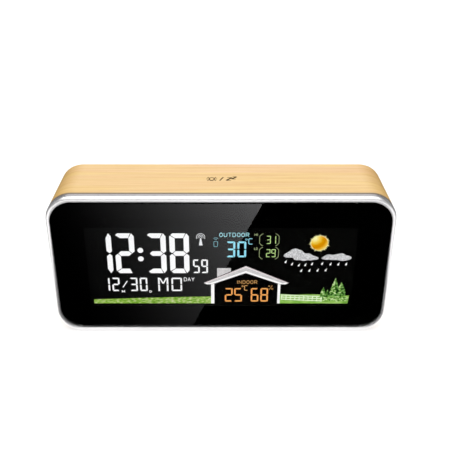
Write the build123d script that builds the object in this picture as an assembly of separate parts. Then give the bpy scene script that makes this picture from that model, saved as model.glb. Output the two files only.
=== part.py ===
"""Home weather station: a shallow box that stands on a shelf.

Row frame: +X to the right of someone who reads the display, +Y from the display to the back,
+Z up. The origin is at the middle of the base, on the surface that the rubber feet stand on.
Depths are measured back from the front plane, in millimetres, as every other size is.
"""
from build123d import *
import math
import os

# Driving sizes of the case
BODY_W, BODY_H, BODY_D = 190.0, 87.0, 46.0
CORNER_R = 14.2
FOOT_H = 1.0
CLEARANCE = 0.2
FRONT_Y = -BODY_D / 2
FACE_Z = FOOT_H + BODY_H / 2

# Front trim and window
TRIM_DEPTH = 4.5          # the silver band seen from the side
TRIM_ROUND = 2.0          # rounding of its front edge
GROOVE = 0.55             # dark gap between the trim and the case
LENS_W, LENS_H, LENS_R, LENS_T = 185.6, 81.2, 12.6, 2.0
LENS_SETBACK = 0.1
MASK_T, MASK_GAP, MASK_INSET = 0.1, 0.02, 0.05
MASK_FRONT = LENS_SETBACK + LENS_T + MASK_GAP
SHELF_FRONT = MASK_FRONT + MASK_T
SHELF_T = 1.5
SHELF_BACK = SHELF_FRONT + SHELF_T
SKIRT_T = 1.8
TRIM_SKIRT_BACK = 14.0

# Wood-grain sleeve
SLEEVE_FRONT = TRIM_DEPTH + GROOVE
SLEEVE_T = 2.2
SLEEVE_IN_W, SLEEVE_IN_H = BODY_W - 2 * SLEEVE_T, BODY_H - 2 * SLEEVE_T
SLEEVE_IN_R = CORNER_R - SLEEVE_T
SKIRT_W, SKIRT_H = SLEEVE_IN_W - 2 * CLEARANCE, SLEEVE_IN_H - 2 * CLEARANCE
SKIRT_R = SLEEVE_IN_R - CLEARANCE

# Display, centred a little below the middle of the face
VIEW_W, VIEW_H = 150.0, 51.0
VIEW_Z = FACE_Z - 1.0
GLASS_W, GLASS_T = 156.0, 1.1
FRONT_GLASS_H, REAR_GLASS_H = 62.0, 54.0
POLARISER_W, POLARISER_H, POLARISER_T = 152.0, 53.0, 0.2
GASKET_T = 0.6
COLOUR_FILM_T, DIFFUSER_T, GUIDE_T, REFLECTOR_T = 0.1, 0.4, 3.0, 0.2
GUIDE_W, GUIDE_H = 148.0, 51.0
ZEBRA_L, ZEBRA_H = 140.0, 2.6
CLAMP_WALL, CLAMP_PLATE_T = 2.0, 1.6
BOARD_T = 1.6
BOARD_STANDOFF = 1.5

# Rear cover
COVER_OUT, COVER_T = 44.8, 2.2
COVER_IN = COVER_OUT - COVER_T
COVER_SKIRT_FRONT = 36.0

# Case screws at the four corners
CASE_SCREW_X, CASE_SCREW_Z, CASE_SCREW_R, CASE_SCREW_L = 84.0, 32.5, 1.3, 17.0
PILLAR_R, PILLAR_BACK, PILLAR_PILOT_L = 3.4, 35.8, 14.0
TUBE_R, HEAD_SEAT = 4.4, 41.4

# Three AAA cells side by side in a bay in the rear cover
CELL_R, CELL_L, CELL_NUB_R, CELL_NUB_L, CELL_PITCH = 5.25, 43.6, 1.9, 0.9, 11.0
CELL_SIGNS = (-1, 1, -1)   # side of the positive nub along X, from the top cell down
BAY_X, BAY_Z = 36.0, FACE_Z - 3.0
BAY_W, BAY_H, BAY_WALL = 52.0, 34.0, 1.5
DOOR_W, DOOR_H, DOOR_T, DOOR_GAP = 57.0, 38.6, 2.4, 0.3
DOOR_IN = COVER_OUT - DOOR_T
CELL_DEPTH = DOOR_IN - 0.4 - CELL_R
BAY_FLOOR = CELL_DEPTH - CELL_R - 0.3
HINGE_R, HINGE_PIN_L, HINGE_PLAY = 0.7, 1.6, 0.05
CONTACT_T = 0.4
SPRING_R, SPRING_WIRE_R, SPRING_TURNS = 2.9, 0.35, 4

# Keys
KEY_NAMES = ("mode", "alarm", "memory", "channel", "up", "down")
KEY_X0, KEY_Z0, KEY_DX, KEY_DZ = -66.0, FACE_Z + 12.0, 17.0, 15.0
KEY_COLUMNS = 3
KEY_W, KEY_H, KEY_R = 10.0, 5.6, 2.4
KEY_PROUD, KEY_FLANGE, KEY_FLANGE_T = 1.0, 1.2, 1.0
KEY_TRAVEL = 0.6
KEY_BOARD_BACK = 34.6
SWITCH_SIDE, SWITCH_H = 6.0, 3.5
PLUNGER_R, PLUNGER_PROUD, PLUNGER_SUNK = 1.6, 0.8, 0.9
KEY_BOARD_W, KEY_BOARD_H, KEY_BOARD_Z = 52.0, 36.0, FACE_Z + 4.5
KEY_BOARD_X = KEY_X0 + KEY_DX

# Low-voltage inlet, for a 5.5 mm plug with a 2.1 mm centre
JACK_X, JACK_Z = -66.0, FACE_Z - 27.0
JACK_BORE_R, JACK_PIN_R, JACK_L = 3.0, 1.05, 12.0

# Air slots for the temperature and humidity sensor
VENT_X, VENT_Z, VENT_W, VENT_H, VENT_PITCH, VENT_COUNT = -20.0, FACE_Z - 25.0, 14.0, 1.6, 3.4, 5
SENSOR_SIDE, SENSOR_BACK = 20.0, 37.0


def slab(width, height, front, back, radius=0.0, x=0.0, z=FACE_Z):
    """A plate that faces the reader, from depth front to depth back."""
    plane = Plane(origin=(x, FRONT_Y + back, z), x_dir=(1, 0, 0), z_dir=(0, -1, 0))
    outline = RectangleRounded(width, height, radius) if radius else Rectangle(width, height)
    return extrude(plane * outline, back - front)


def rod(radius, front, back, x=0.0, z=FACE_Z):
    """A round bar that runs from front to back."""
    plane = Plane(origin=(x, FRONT_Y + back, z), x_dir=(1, 0, 0), z_dir=(0, -1, 0))
    return extrude(plane * Circle(radius), back - front)


def cross_rod(radius, left, right, depth, z):
    """A round bar that runs from left to right."""
    plane = Plane(origin=(left, FRONT_Y + depth, z), x_dir=(0, 1, 0), z_dir=(1, 0, 0))
    return extrude(plane * Circle(radius), right - left)


def block(left, right, front, back, low, high):
    """A box between two values on each axis."""
    return slab(right - left, high - low, front, back, 0.0, (left + right) / 2, (low + high) / 2)


def screw(head_r, head_h, shaft_r, length, seat, towards, x, z):
    """A pan-head screw with a cross slot. Its head sits at depth seat, its shaft points towards
    the front (-1) or the back (1)."""
    away = -towards
    head = rod(head_r, min(seat, seat + away * head_h), max(seat, seat + away * head_h), x, z)
    rim = head.faces().sort_by(Axis.Y)[0 if away < 0 else -1].edges()
    head = fillet(rim, head_h * 0.4)
    slot_deep = head_h * 0.55
    top = seat + away * head_h
    for wide, tall in ((head_r * 1.2, head_r * 0.28), (head_r * 0.28, head_r * 1.2)):
        ends = sorted((top, top - away * slot_deep))
        head -= slab(wide, tall, ends[0], ends[1], 0.0, x, z)
    ends = sorted((seat, seat + towards * length))
    return head + rod(shaft_r, ends[0], ends[1], x, z)


def group(solids):
    return Compound(children=list(solids))


def corners(dx, dz, x=0.0, z=FACE_Z):
    return [(x + sx * dx, z + sz * dz) for sx in (-1, 1) for sz in (-1, 1)]


# ---- front ----------------------------------------------------------------------------------

CLAMP_SCREW_X, CLAMP_SCREW_Z = 85.2, 15.0
CLAMP_BOSS_R, PILOT_R = 2.6, 1.05


def front_bezel():
    """Silver trim ring with the shelf that the window is stuck to, a skirt inside the sleeve,
    four screw pillars and four short bosses for the display clamp."""
    band = slab(BODY_W, BODY_H, 0, TRIM_DEPTH, CORNER_R)
    band = fillet(band.faces().sort_by(Axis.Y)[0].edges(), TRIM_ROUND)
    body = band + slab(SKIRT_W, SKIRT_H, TRIM_DEPTH, TRIM_SKIRT_BACK, SKIRT_R)
    body -= slab(LENS_W + CLEARANCE, LENS_H + CLEARANCE, 0, SHELF_FRONT, LENS_R + CLEARANCE / 2)
    inner_w, inner_h = SKIRT_W - 2 * SKIRT_T, SKIRT_H - 2 * SKIRT_T
    body -= slab(inner_w, inner_h, SHELF_BACK, TRIM_SKIRT_BACK, SKIRT_R - SKIRT_T)
    body -= slab(GLASS_W + 1, FRONT_GLASS_H + 1, SHELF_FRONT, SHELF_BACK, 1.0, 0, VIEW_Z)
    for x, z in corners(CASE_SCREW_X, CASE_SCREW_Z):
        body += rod(PILLAR_R, SHELF_BACK, PILLAR_BACK, x, z)
        body -= rod(CASE_SCREW_R + HINGE_PLAY, PILLAR_BACK - PILLAR_PILOT_L, PILLAR_BACK, x, z)
    for x, z in corners(CLAMP_SCREW_X, CLAMP_SCREW_Z, 0, VIEW_Z):
        body += rod(CLAMP_BOSS_R, SHELF_BACK, CLAMP_PLATE_FRONT, x, z)
        body -= rod(PILOT_R, SHELF_BACK + 1, CLAMP_PLATE_FRONT, x, z)
    return body


def front_lens():
    """Clear acrylic window with a softened front edge."""
    lens = slab(LENS_W, LENS_H, LENS_SETBACK, LENS_SETBACK + LENS_T, LENS_R)
    return chamfer(lens.faces().sort_by(Axis.Y)[0].edges(), 0.25)


def lens_mask():
    """Black border printed on the back of the window."""
    edge = 2 * MASK_INSET
    mask = slab(LENS_W - edge, LENS_H - edge, MASK_FRONT, SHELF_FRONT, LENS_R - MASK_INSET)
    return mask - slab(VIEW_W, VIEW_H, MASK_FRONT, SHELF_FRONT, 0.6, 0, VIEW_Z)


# ---- display stack, each layer behind the one before ------------------------------------------

GASKET_BACK = SHELF_FRONT + GASKET_T
POLARISER_BACK = GASKET_BACK + POLARISER_T
FRONT_GLASS_BACK = POLARISER_BACK + GLASS_T
REAR_GLASS_BACK = FRONT_GLASS_BACK + GLASS_T
REAR_POLARISER_BACK = REAR_GLASS_BACK + POLARISER_T
COLOUR_FILM_BACK = REAR_POLARISER_BACK + COLOUR_FILM_T
DIFFUSER_BACK = COLOUR_FILM_BACK + DIFFUSER_T
GUIDE_BACK = DIFFUSER_BACK + GUIDE_T
REFLECTOR_BACK = GUIDE_BACK + REFLECTOR_T
FRAME_BACK_T = 1.1
FRAME_BACK = REFLECTOR_BACK + FRAME_BACK_T
CLAMP_PLATE_FRONT = FRAME_BACK
CLAMP_PLATE_BACK = CLAMP_PLATE_FRONT + CLAMP_PLATE_T
BOARD_FRONT = CLAMP_PLATE_BACK + BOARD_STANDOFF
BOARD_BACK = BOARD_FRONT + BOARD_T
BOARD_W, BOARD_H = 160.0, 66.0
BOARD_Z_TOP = VIEW_Z + BOARD_H / 2
BOARD_SCREW_X, BOARD_SCREW_Z = 76.0, 27.0
ZEBRA_Z = (REAR_GLASS_H + FRONT_GLASS_H) / 4
LED_SIDE, LED_T, LED_BOARD_T = 3.0, 1.2, 0.8
LED_Z = (-15.0, 0.0, 15.0)


def view_slab(width, height, front, back, radius=0.3):
    """A layer of the display, centred on the viewing area."""
    return slab(width, height, front, back, radius, 0, VIEW_Z)


def dust_gasket():
    """Foam ring between the window and the glass."""
    ring = view_slab(POLARISER_W + 2, POLARISER_H + 4, SHELF_FRONT, GASKET_BACK, 1.0)
    return ring - view_slab(VIEW_W + 0.6, VIEW_H + 0.6, SHELF_FRONT, GASKET_BACK, 0.6)


def display_layers():
    """The flat layers from the front polariser to the reflector."""
    return {
        "lcd_front_polariser": view_slab(POLARISER_W, POLARISER_H, GASKET_BACK, POLARISER_BACK),
        "lcd_front_glass": view_slab(GLASS_W, FRONT_GLASS_H, POLARISER_BACK, FRONT_GLASS_BACK),
        "lcd_rear_glass": view_slab(GLASS_W, REAR_GLASS_H, FRONT_GLASS_BACK, REAR_GLASS_BACK),
        "lcd_rear_polariser": view_slab(POLARISER_W, REAR_GLASS_H - 1, REAR_GLASS_BACK, REAR_POLARISER_BACK),
        "colour_film": view_slab(GUIDE_W, GUIDE_H, REAR_POLARISER_BACK, COLOUR_FILM_BACK),
        "diffuser_sheet": view_slab(GUIDE_W, GUIDE_H, COLOUR_FILM_BACK, DIFFUSER_BACK),
        "light_guide": view_slab(GUIDE_W, GUIDE_H, DIFFUSER_BACK, GUIDE_BACK),
        "reflector_sheet": view_slab(GUIDE_W, GUIDE_H, GUIDE_BACK, REFLECTOR_BACK),
    }


def backlight_frame():
    """White tray that holds the light guide and its LEDs."""
    tray = view_slab(GLASS_W, REAR_GLASS_H, REAR_POLARISER_BACK, FRAME_BACK, 0.8)
    room_w = GUIDE_W + 2 * (LED_T + LED_BOARD_T + 0.3)
    return tray - view_slab(room_w, GUIDE_H + 0.4, REAR_POLARISER_BACK, REFLECTOR_BACK, 0.3)


def led_boards():
    edge = GUIDE_W / 2 + LED_T + 0.1
    ends = (DIFFUSER_BACK, GUIDE_BACK)
    low, high = VIEW_Z - 22, VIEW_Z + 22
    right = block(edge, edge + LED_BOARD_T, *ends, low, high)
    return group([right, block(-edge - LED_BOARD_T, -edge, *ends, low, high)])


def backlight_leds():
    inner = GUIDE_W / 2 + 0.1
    made = []
    for side in (-1, 1):
        left, right = sorted((side * inner, side * (inner + LED_T)))
        for offset in LED_Z:
            z = VIEW_Z + offset
            front, back = DIFFUSER_BACK + 0.3, GUIDE_BACK - 0.3
            made.append(block(left, right, front, back, z - LED_SIDE / 2, z + LED_SIDE / 2))
    return group(made)


def zebra_strips():
    """Rubber strips that carry the display signals from the board to the glass ledge."""
    return group(
        slab(ZEBRA_L, ZEBRA_H, FRONT_GLASS_BACK, BOARD_FRONT, 0.0, 0, VIEW_Z + side * ZEBRA_Z)
        for side in (-1, 1)
    )


def display_clamp():
    """Black tray that presses the display into the trim and carries the main board."""
    cavity_w, cavity_h = GLASS_W + 0.8, FRONT_GLASS_H + 0.8
    outer_w, outer_h = cavity_w + 2 * CLAMP_WALL, cavity_h + 2 * CLAMP_WALL
    tray = view_slab(outer_w, outer_h, SHELF_BACK, CLAMP_PLATE_BACK, 2.0)
    tray -= view_slab(cavity_w, cavity_h, SHELF_BACK, CLAMP_PLATE_FRONT, 0.6)
    slit_w, slit_h = ZEBRA_L + 0.6, ZEBRA_H + 0.6
    for side in (-1, 1):
        z = VIEW_Z + side * ZEBRA_Z
        tray -= slab(slit_w, slit_h, CLAMP_PLATE_FRONT, CLAMP_PLATE_BACK, 0.0, 0, z)
    for x, z in corners(CLAMP_SCREW_X, CLAMP_SCREW_Z, 0, VIEW_Z):
        inner = math.copysign(outer_w / 2 - 1, x)
        ear = block(min(inner, x), max(inner, x), CLAMP_PLATE_FRONT, CLAMP_PLATE_BACK, z - 3, z + 3)
        tray += ear + rod(3, CLAMP_PLATE_FRONT, CLAMP_PLATE_BACK, x, z)
        tray -= rod(PILOT_R + 0.3, CLAMP_PLATE_FRONT, CLAMP_PLATE_BACK, x, z)
    for x, z in corners(BOARD_SCREW_X, BOARD_SCREW_Z, 0, VIEW_Z):
        tray += rod(2.6, CLAMP_PLATE_BACK, BOARD_FRONT, x, z)
        tray -= rod(PILOT_R, CLAMP_PLATE_FRONT, BOARD_FRONT, x, z)
    return tray


def clamp_screws():
    places = corners(CLAMP_SCREW_X, CLAMP_SCREW_Z, 0, VIEW_Z)
    return group(screw(2.2, 1.4, 1.0, 5.5, CLAMP_PLATE_BACK, -1, x, z) for x, z in places)


# ---- electronics ------------------------------------------------------------------------------

def main_board():
    board = slab(BOARD_W, BOARD_H, BOARD_FRONT, BOARD_BACK, 1.5, 0, VIEW_Z)
    for x, z in corners(BOARD_SCREW_X, BOARD_SCREW_Z, 0, VIEW_Z):
        board -= rod(1.4, BOARD_FRONT, BOARD_BACK, x, z)
    return board


def main_board_screws():
    places = corners(BOARD_SCREW_X, BOARD_SCREW_Z, 0, VIEW_Z)
    return group(screw(2.2, 1.4, 1.0, 4.2, BOARD_BACK, -1, x, z) for x, z in places)


def leaded_chip(side, height, x, z, pins):
    """A square chip with a row of gull legs on each side."""
    body = slab(side, side, BOARD_BACK + 0.2, BOARD_BACK + height, 0.0, x, z)
    pitch = side * 0.84 / (pins - 1)
    for k in range(pins):
        offset = (k - (pins - 1) / 2) * pitch
        for turned in (False, True):
            wide, tall = (pitch * 0.45, side + 2.4) if turned else (side + 2.4, pitch * 0.45)
            dx, dz = (offset, 0) if turned else (0, offset)
            body += slab(wide, tall, BOARD_BACK, BOARD_BACK + 0.3, 0.0, x + dx, z + dz)
    return body


# Each chip: side, height, x, pins on a side
CHIPS = ((12.0, 1.6, -18.0, 11), (10.0, 1.4, 12.0, 9))
CHIP_Z = VIEW_Z + 8

# Each can: radius, height, x, height above the middle of the view
CAPACITORS = (
    (3.1, 7.0, -62.0, 14.0),
    (2.5, 6.0, -54.0, 14.0),
    (2.5, 6.0, -62.0, 5.0),
    (2.5, 5.0, 30.0, 20.0),
)

CRYSTAL_LEFT, CRYSTAL_L, CRYSTAL_R, CRYSTAL_Z = -38.0, 6.0, 1.0, VIEW_Z + 9
CRYSTAL_LEG_L, CRYSTAL_LEG_T = 2.5, 0.3


def board_chips():
    """The controller and the display driver."""
    return group(leaded_chip(side, height, x, CHIP_Z, pins) for side, height, x, pins in CHIPS)


def board_capacitors():
    return group(rod(r, BOARD_BACK, BOARD_BACK + h, x, VIEW_Z + z) for r, h, x, z in CAPACITORS)


def board_crystal():
    """Watch crystal lying on the board, with two legs at its right end."""
    right, half = CRYSTAL_LEFT + CRYSTAL_L, CRYSTAL_LEG_T / 2
    axis = BOARD_BACK + CRYSTAL_R
    crystal = cross_rod(CRYSTAL_R, CRYSTAL_LEFT, right, axis, CRYSTAL_Z)
    for side in (-1, 1):
        z = CRYSTAL_Z + side * CRYSTAL_R / 2
        crystal += block(right, right + CRYSTAL_LEG_L, axis - half, axis + half, z - half, z + half)
    return crystal


LEAD_PLUG_X, LEAD_PLUG_Z, LEAD_PLUG_H, LEAD_PITCH = -4.0, VIEW_Z - 18.0, 4.0, 2.5
RIBBON_PLUG_X, RIBBON_PLUG_Z = KEY_X0 + KEY_DX, VIEW_Z + 2.0


def board_connectors():
    """A two-way battery plug and a nine-way plug for the key board."""
    two = slab(7.0, 4.5, BOARD_BACK, BOARD_BACK + LEAD_PLUG_H, 0.4, LEAD_PLUG_X, LEAD_PLUG_Z)
    nine = slab(20.0, 4.5, BOARD_BACK, BOARD_BACK + LEAD_PLUG_H, 0.4, RIBBON_PLUG_X, RIBBON_PLUG_Z)
    return group([two, nine])


def buzzer():
    x, z = 62.0, VIEW_Z + 16
    can = fillet(rod(6.0, BOARD_BACK, BOARD_BACK + 6.5, x, z).faces().sort_by(Axis.Y)[-1].edges(), 0.6)
    return can - rod(1.0, BOARD_BACK + 4.5, BOARD_BACK + 6.5, x, z)


RECEIVER_X, RECEIVER_Z = 46.0, VIEW_Z - 6
RECEIVER_FRONT, RECEIVER_BACK, TUNER_BACK = 2.4, 3.4, 5.6   # behind the main board
ANTENNA_WIRE_R = 0.4


def receiver_board():
    """Small board that hears the outdoor sensor, on its row of pins, with a can over the tuner."""
    front, back, tuner = (BOARD_BACK + depth for depth in (RECEIVER_FRONT, RECEIVER_BACK, TUNER_BACK))
    board = slab(24.0, 11.0, front, back, 0.0, RECEIVER_X, RECEIVER_Z)
    board += slab(10.0, 7.0, back, tuner, 0.6, RECEIVER_X - 4, RECEIVER_Z)
    for k in range(4):
        x = RECEIVER_X - 9 + k * 2.54
        board += block(x - 0.3, x + 0.3, BOARD_BACK, front, RECEIVER_Z - 4.6, RECEIVER_Z - 4.0)
    return board


def helix_wire(turns, pitch, radius, wire_r, placed):
    """A round wire wound on a cylinder, its axis along the local Z of placed."""
    path = placed * Helix(pitch=pitch, height=turns * pitch, radius=radius)
    return sweep(Plane(origin=path @ 0, z_dir=path % 0) * Circle(wire_r), path=path, is_frenet=True)


def receiver_antenna():
    """Wire coil that stands on the receiver board."""
    foot = (RECEIVER_X + 7, FRONT_Y + BOARD_BACK + RECEIVER_BACK + ANTENNA_WIRE_R + 0.01, RECEIVER_Z)
    return helix_wire(6, 1.3, 2.4, ANTENNA_WIRE_R, Location(Plane(origin=foot, z_dir=(0, 1, 0))))


ROD_DEPTH, ROD_Z, ROD_L, ROD_R = 27.5, FACE_Z + 30.5, 60.0, 4.0
ROD_X = -34.0
COIL_W, COIL_T = 26.0, 1.3


def time_antenna_rod():
    bar = cross_rod(ROD_R, ROD_X - ROD_L / 2, ROD_X + ROD_L / 2, ROD_DEPTH, ROD_Z)
    return chamfer(bar.edges(), 0.4)


def time_antenna_coil():
    left, right = ROD_X - COIL_W / 2, ROD_X + COIL_W / 2
    coil = cross_rod(ROD_R + COIL_T, left, right, ROD_DEPTH, ROD_Z)
    return coil - cross_rod(ROD_R, left, right, ROD_DEPTH, ROD_Z)


def antenna_posts():
    """Two posts on the inside of the rear cover, each with a snap cradle for one end of the rod."""
    made = []
    for x in (ROD_X - ROD_L / 2 + 5, ROD_X + ROD_L / 2 - 5):
        post = block(x - 2, x + 2, ROD_DEPTH - 3, COVER_IN, ROD_Z - ROD_R - 1.5, ROD_Z + ROD_R + 1.5)
        post -= cross_rod(ROD_R, x - 2, x + 2, ROD_DEPTH, ROD_Z)
        mouth = ROD_R - 0.6
        made.append(post - block(x - 2, x + 2, ROD_DEPTH - 3, ROD_DEPTH, ROD_Z - mouth, ROD_Z + mouth))
    return made


def climate_sensor():
    """Temperature and humidity sensor on its own small board, which closes a chamber in the rear
    cover behind the air slots."""
    board = slab(SENSOR_SIDE, SENSOR_SIDE, SENSOR_BACK - 1.0, SENSOR_BACK, 0.0, VENT_X, VENT_Z)
    board += slab(8.0, 9.0, SENSOR_BACK, SENSOR_BACK + 2.6, 0.8, VENT_X, VENT_Z)
    for k in range(4):
        board -= slab(5.0, 0.8, SENSOR_BACK + 1.8, SENSOR_BACK + 2.6, 0.0, VENT_X, VENT_Z + (k - 1.5) * 2)
    return board


# ---- case -------------------------------------------------------------------------------------

FOOT_X, FOOT_R, FOOT_SUNK = 76.0, 4.5, 0.4
FOOT_DEPTHS = (11.5, 39.5)


def foot_cylinders(radius, low, high):
    made = []
    for side in (-1, 1):
        for depth in FOOT_DEPTHS:
            plane = Plane(origin=(side * FOOT_X, FRONT_Y + depth, low))
            made.append(extrude(plane * Circle(radius), high - low))
    return made


def case_sleeve():
    """Wrap-around case with shallow seats for the feet."""
    tube = slab(BODY_W, BODY_H, SLEEVE_FRONT, BODY_D, CORNER_R)
    tube = fillet(tube.faces().sort_by(Axis.Y)[-1].edges(), 0.9)
    tube = chamfer(tube.faces().sort_by(Axis.Y)[0].edges(), 0.15)
    tube -= slab(SLEEVE_IN_W, SLEEVE_IN_H, SLEEVE_FRONT, BODY_D, SLEEVE_IN_R)
    for seat in foot_cylinders(FOOT_R + 0.1, FOOT_H - 1, FOOT_H + FOOT_SUNK):
        tube -= seat
    return tube


def rubber_feet():
    made = []
    for foot in foot_cylinders(FOOT_R, 0, FOOT_H + FOOT_SUNK):
        made.append(fillet(foot.faces().sort_by(Axis.Z)[0].edges(), 0.3))
    return group(made)


TOUCH_W, TOUCH_D, TOUCH_T, TOUCH_TAB = 44.0, 16.0, 0.2, 1.6
TOUCH_Z = FACE_Z + SLEEVE_IN_H / 2


def touch_electrode():
    """Copper foil stuck under the top of the case, below the printed mark, with a solder tab."""
    mid = BODY_D / 2 + 1
    front, low = mid - TOUCH_D / 2, TOUCH_Z - TOUCH_T
    foil = block(-TOUCH_W / 2, TOUCH_W / 2, front, mid + TOUCH_D / 2, low, TOUCH_Z)
    return foil + block(-3, 3, front - TOUCH_TAB, front, low, TOUCH_Z)


# ---- rear cover and what it carries -------------------------------------------------------------

DOOR_Z = BAY_Z
DOOR_BOTTOM = DOOR_Z - DOOR_H / 2
HINGE_DEPTH, HINGE_Z = COVER_OUT - DOOR_T / 2, DOOR_BOTTOM + DOOR_T / 2
PAD_BACK, PAD_T, PAD_RIM = COVER_IN, 2.8, 3.2
LATCH_W, LATCH_RIDGE = 12.0, 0.2
KEY_POST_R = 2.6
KEY_POST_DX, KEY_POST_DZ = 23.0, 15.0
BAY_LEFT, BAY_RIGHT = BAY_X - BAY_W / 2, BAY_X + BAY_W / 2
TAIL_W = 3.0
TAIL_TIP = BAY_FLOOR - BAY_WALL - 1.6


def key_places():
    """Name, x and z of each key, in rows."""
    for k, name in enumerate(KEY_NAMES):
        row, column = divmod(k, KEY_COLUMNS)
        yield name, KEY_X0 + column * KEY_DX, KEY_Z0 - row * KEY_DZ


def battery_bay(cover):
    """Sinks the bay, the seat of the door, its hinge sockets and a thumb scoop into the cover."""
    pad_w, pad_h = DOOR_W + 2 * PAD_RIM, DOOR_H + 2 * PAD_RIM
    cover += slab(pad_w, pad_h, PAD_BACK - PAD_T, PAD_BACK, 2.0, BAY_X, DOOR_Z)
    wall = 2 * BAY_WALL
    cover += slab(BAY_W + wall, BAY_H + wall, BAY_FLOOR - BAY_WALL, PAD_BACK, 1.0, BAY_X, BAY_Z)
    cover -= slab(BAY_W, BAY_H, BAY_FLOOR, COVER_OUT, 0.5, BAY_X, BAY_Z)
    gap = 2 * DOOR_GAP
    cover -= slab(DOOR_W + gap, DOOR_H + gap, DOOR_IN - 0.2, COVER_OUT, 0.8, BAY_X, DOOR_Z)
    reach = DOOR_W / 2 + HINGE_PIN_L + 0.3
    cover -= cross_rod(HINGE_R + HINGE_PLAY, BAY_X - reach, BAY_X + reach, HINGE_DEPTH, HINGE_Z)
    top = DOOR_BOTTOM + DOOR_H + DOOR_GAP
    scoop_r = 9.0
    scoop = cross_rod(scoop_r, BAY_X - LATCH_W / 2, BAY_X + LATCH_W / 2, COVER_OUT + scoop_r - 1.3, top + 2)
    return cover - scoop


def rear_cover():
    cover = slab(SKIRT_W, SKIRT_H, COVER_SKIRT_FRONT, COVER_OUT, SKIRT_R)
    cover = fillet(cover.faces().sort_by(Axis.Y)[-1].edges(), 0.8)
    inner_w, inner_h = SKIRT_W - 2 * SKIRT_T, SKIRT_H - 2 * SKIRT_T
    cover -= slab(inner_w, inner_h, COVER_SKIRT_FRONT, COVER_IN, SKIRT_R - SKIRT_T)
    for x, z in corners(CASE_SCREW_X, CASE_SCREW_Z):
        cover += rod(TUBE_R, COVER_SKIRT_FRONT, COVER_IN, x, z)
        cover -= rod(CASE_SCREW_R + 0.3, COVER_SKIRT_FRONT, COVER_OUT, x, z)
        cover -= rod(3.0, HEAD_SEAT, COVER_OUT, x, z)
    cover = battery_bay(cover)
    for _, x, z in key_places():
        cover -= slab(KEY_W + 0.6, KEY_H + 0.6, COVER_IN, COVER_OUT, KEY_R + 0.3, x, z)
    for x, z in corners(KEY_POST_DX, KEY_POST_DZ, KEY_BOARD_X, KEY_BOARD_Z):
        cover += rod(KEY_POST_R, KEY_BOARD_BACK, COVER_IN, x, z)
        cover -= rod(PILOT_R, KEY_BOARD_BACK, COVER_IN, x, z)
    cover -= rod(JACK_BORE_R + 0.9, COVER_IN, COVER_OUT, JACK_X, JACK_Z)
    for k in range(VENT_COUNT):
        z = VENT_Z + (k - (VENT_COUNT - 1) / 2) * VENT_PITCH
        cover -= slab(VENT_W, VENT_H, COVER_IN, COVER_OUT, VENT_H / 2 - 0.01, VENT_X, z)
    chamber = slab(SENSOR_SIDE, SENSOR_SIDE, SENSOR_BACK, COVER_IN, 0.0, VENT_X, VENT_Z)
    inner = SENSOR_SIDE - 2 * BAY_WALL
    cover += chamber - slab(inner, inner, SENSOR_BACK, COVER_IN, 0.0, VENT_X, VENT_Z)
    for post in antenna_posts():
        cover += post
    for x in (BAY_LEFT, BAY_RIGHT - CONTACT_T):
        low = tail_z(x) - TAIL_W / 2
        cover -= block(x, x + CONTACT_T, BAY_FLOOR - BAY_WALL, BAY_FLOOR, low, low + TAIL_W)
    return cover


def tail_z(x):
    """Height of the solder tail of the terminal at either end of the bay."""
    return BAY_Z + CELL_PITCH if x < BAY_X else BAY_Z - CELL_PITCH


def case_screws():
    places = corners(CASE_SCREW_X, CASE_SCREW_Z)
    return group(screw(2.7, 1.8, CASE_SCREW_R, CASE_SCREW_L, HEAD_SEAT, -1, x, z) for x, z in places)


def battery_door():
    """Door with a round lower edge, two hinge pins, grip ribs and a latch ridge on its top edge."""
    door = slab(DOOR_W, DOOR_H - DOOR_T / 2, DOOR_IN, COVER_OUT, 0.0, BAY_X, DOOR_Z + DOOR_T / 4)
    door += cross_rod(DOOR_T / 2, BAY_X - DOOR_W / 2, BAY_X + DOOR_W / 2, HINGE_DEPTH, HINGE_Z)
    reach = DOOR_W / 2 + HINGE_PIN_L
    door += cross_rod(HINGE_R, BAY_X - reach, BAY_X + reach, HINGE_DEPTH, HINGE_Z)
    top = DOOR_BOTTOM + DOOR_H
    tab = LATCH_W / 2
    for side in (-1, 1):
        x = BAY_X + side * (tab + 0.6)
        door -= block(x - 0.4, x + 0.4, DOOR_IN, COVER_OUT, top - 8, top)
    door += block(BAY_X - tab, BAY_X + tab, DOOR_IN + 0.3, DOOR_IN + 1.1, top, top + LATCH_RIDGE)
    for k in range(4):
        z = top - 3 - k * 1.5
        door -= block(BAY_X - tab + 1.5, BAY_X + tab - 1.5, COVER_OUT - 0.4, COVER_OUT, z - 0.35, z + 0.35)
    return door


def cell_centres():
    """Sign of the positive end and height of each cell, from the top down."""
    for k, sign in enumerate(CELL_SIGNS):
        yield sign, BAY_Z + (1 - k) * CELL_PITCH


def battery_cells():
    made = []
    for sign, z in cell_centres():
        nub_end = BAY_X + sign * (BAY_W / 2 - CONTACT_T)
        shoulder = nub_end - sign * CELL_NUB_L
        tail = shoulder - sign * CELL_L
        can = cross_rod(CELL_R, min(shoulder, tail), max(shoulder, tail), CELL_DEPTH, z)
        can = fillet(can.edges(), 0.5)
        ends = sorted((shoulder - sign, nub_end))
        made.append(can + cross_rod(CELL_NUB_R, ends[0], ends[1], CELL_DEPTH, z))
    return group(made)


def battery_springs():
    """A coil spring at the flat end of each cell."""
    made = []
    length = BAY_W - 2 * CONTACT_T - CELL_NUB_L - CELL_L
    turn = length - 2 * SPRING_WIRE_R - 0.1
    for sign, z in cell_centres():
        wall = BAY_X - sign * (BAY_W / 2 - CONTACT_T - SPRING_WIRE_R - 0.05)
        start = (wall, FRONT_Y + CELL_DEPTH, z)
        place = Location(Plane(origin=start, z_dir=(sign, 0, 0)))
        made.append(helix_wire(SPRING_TURNS, turn / SPRING_TURNS, SPRING_R, SPRING_WIRE_R, place))
    return group(made)


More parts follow.
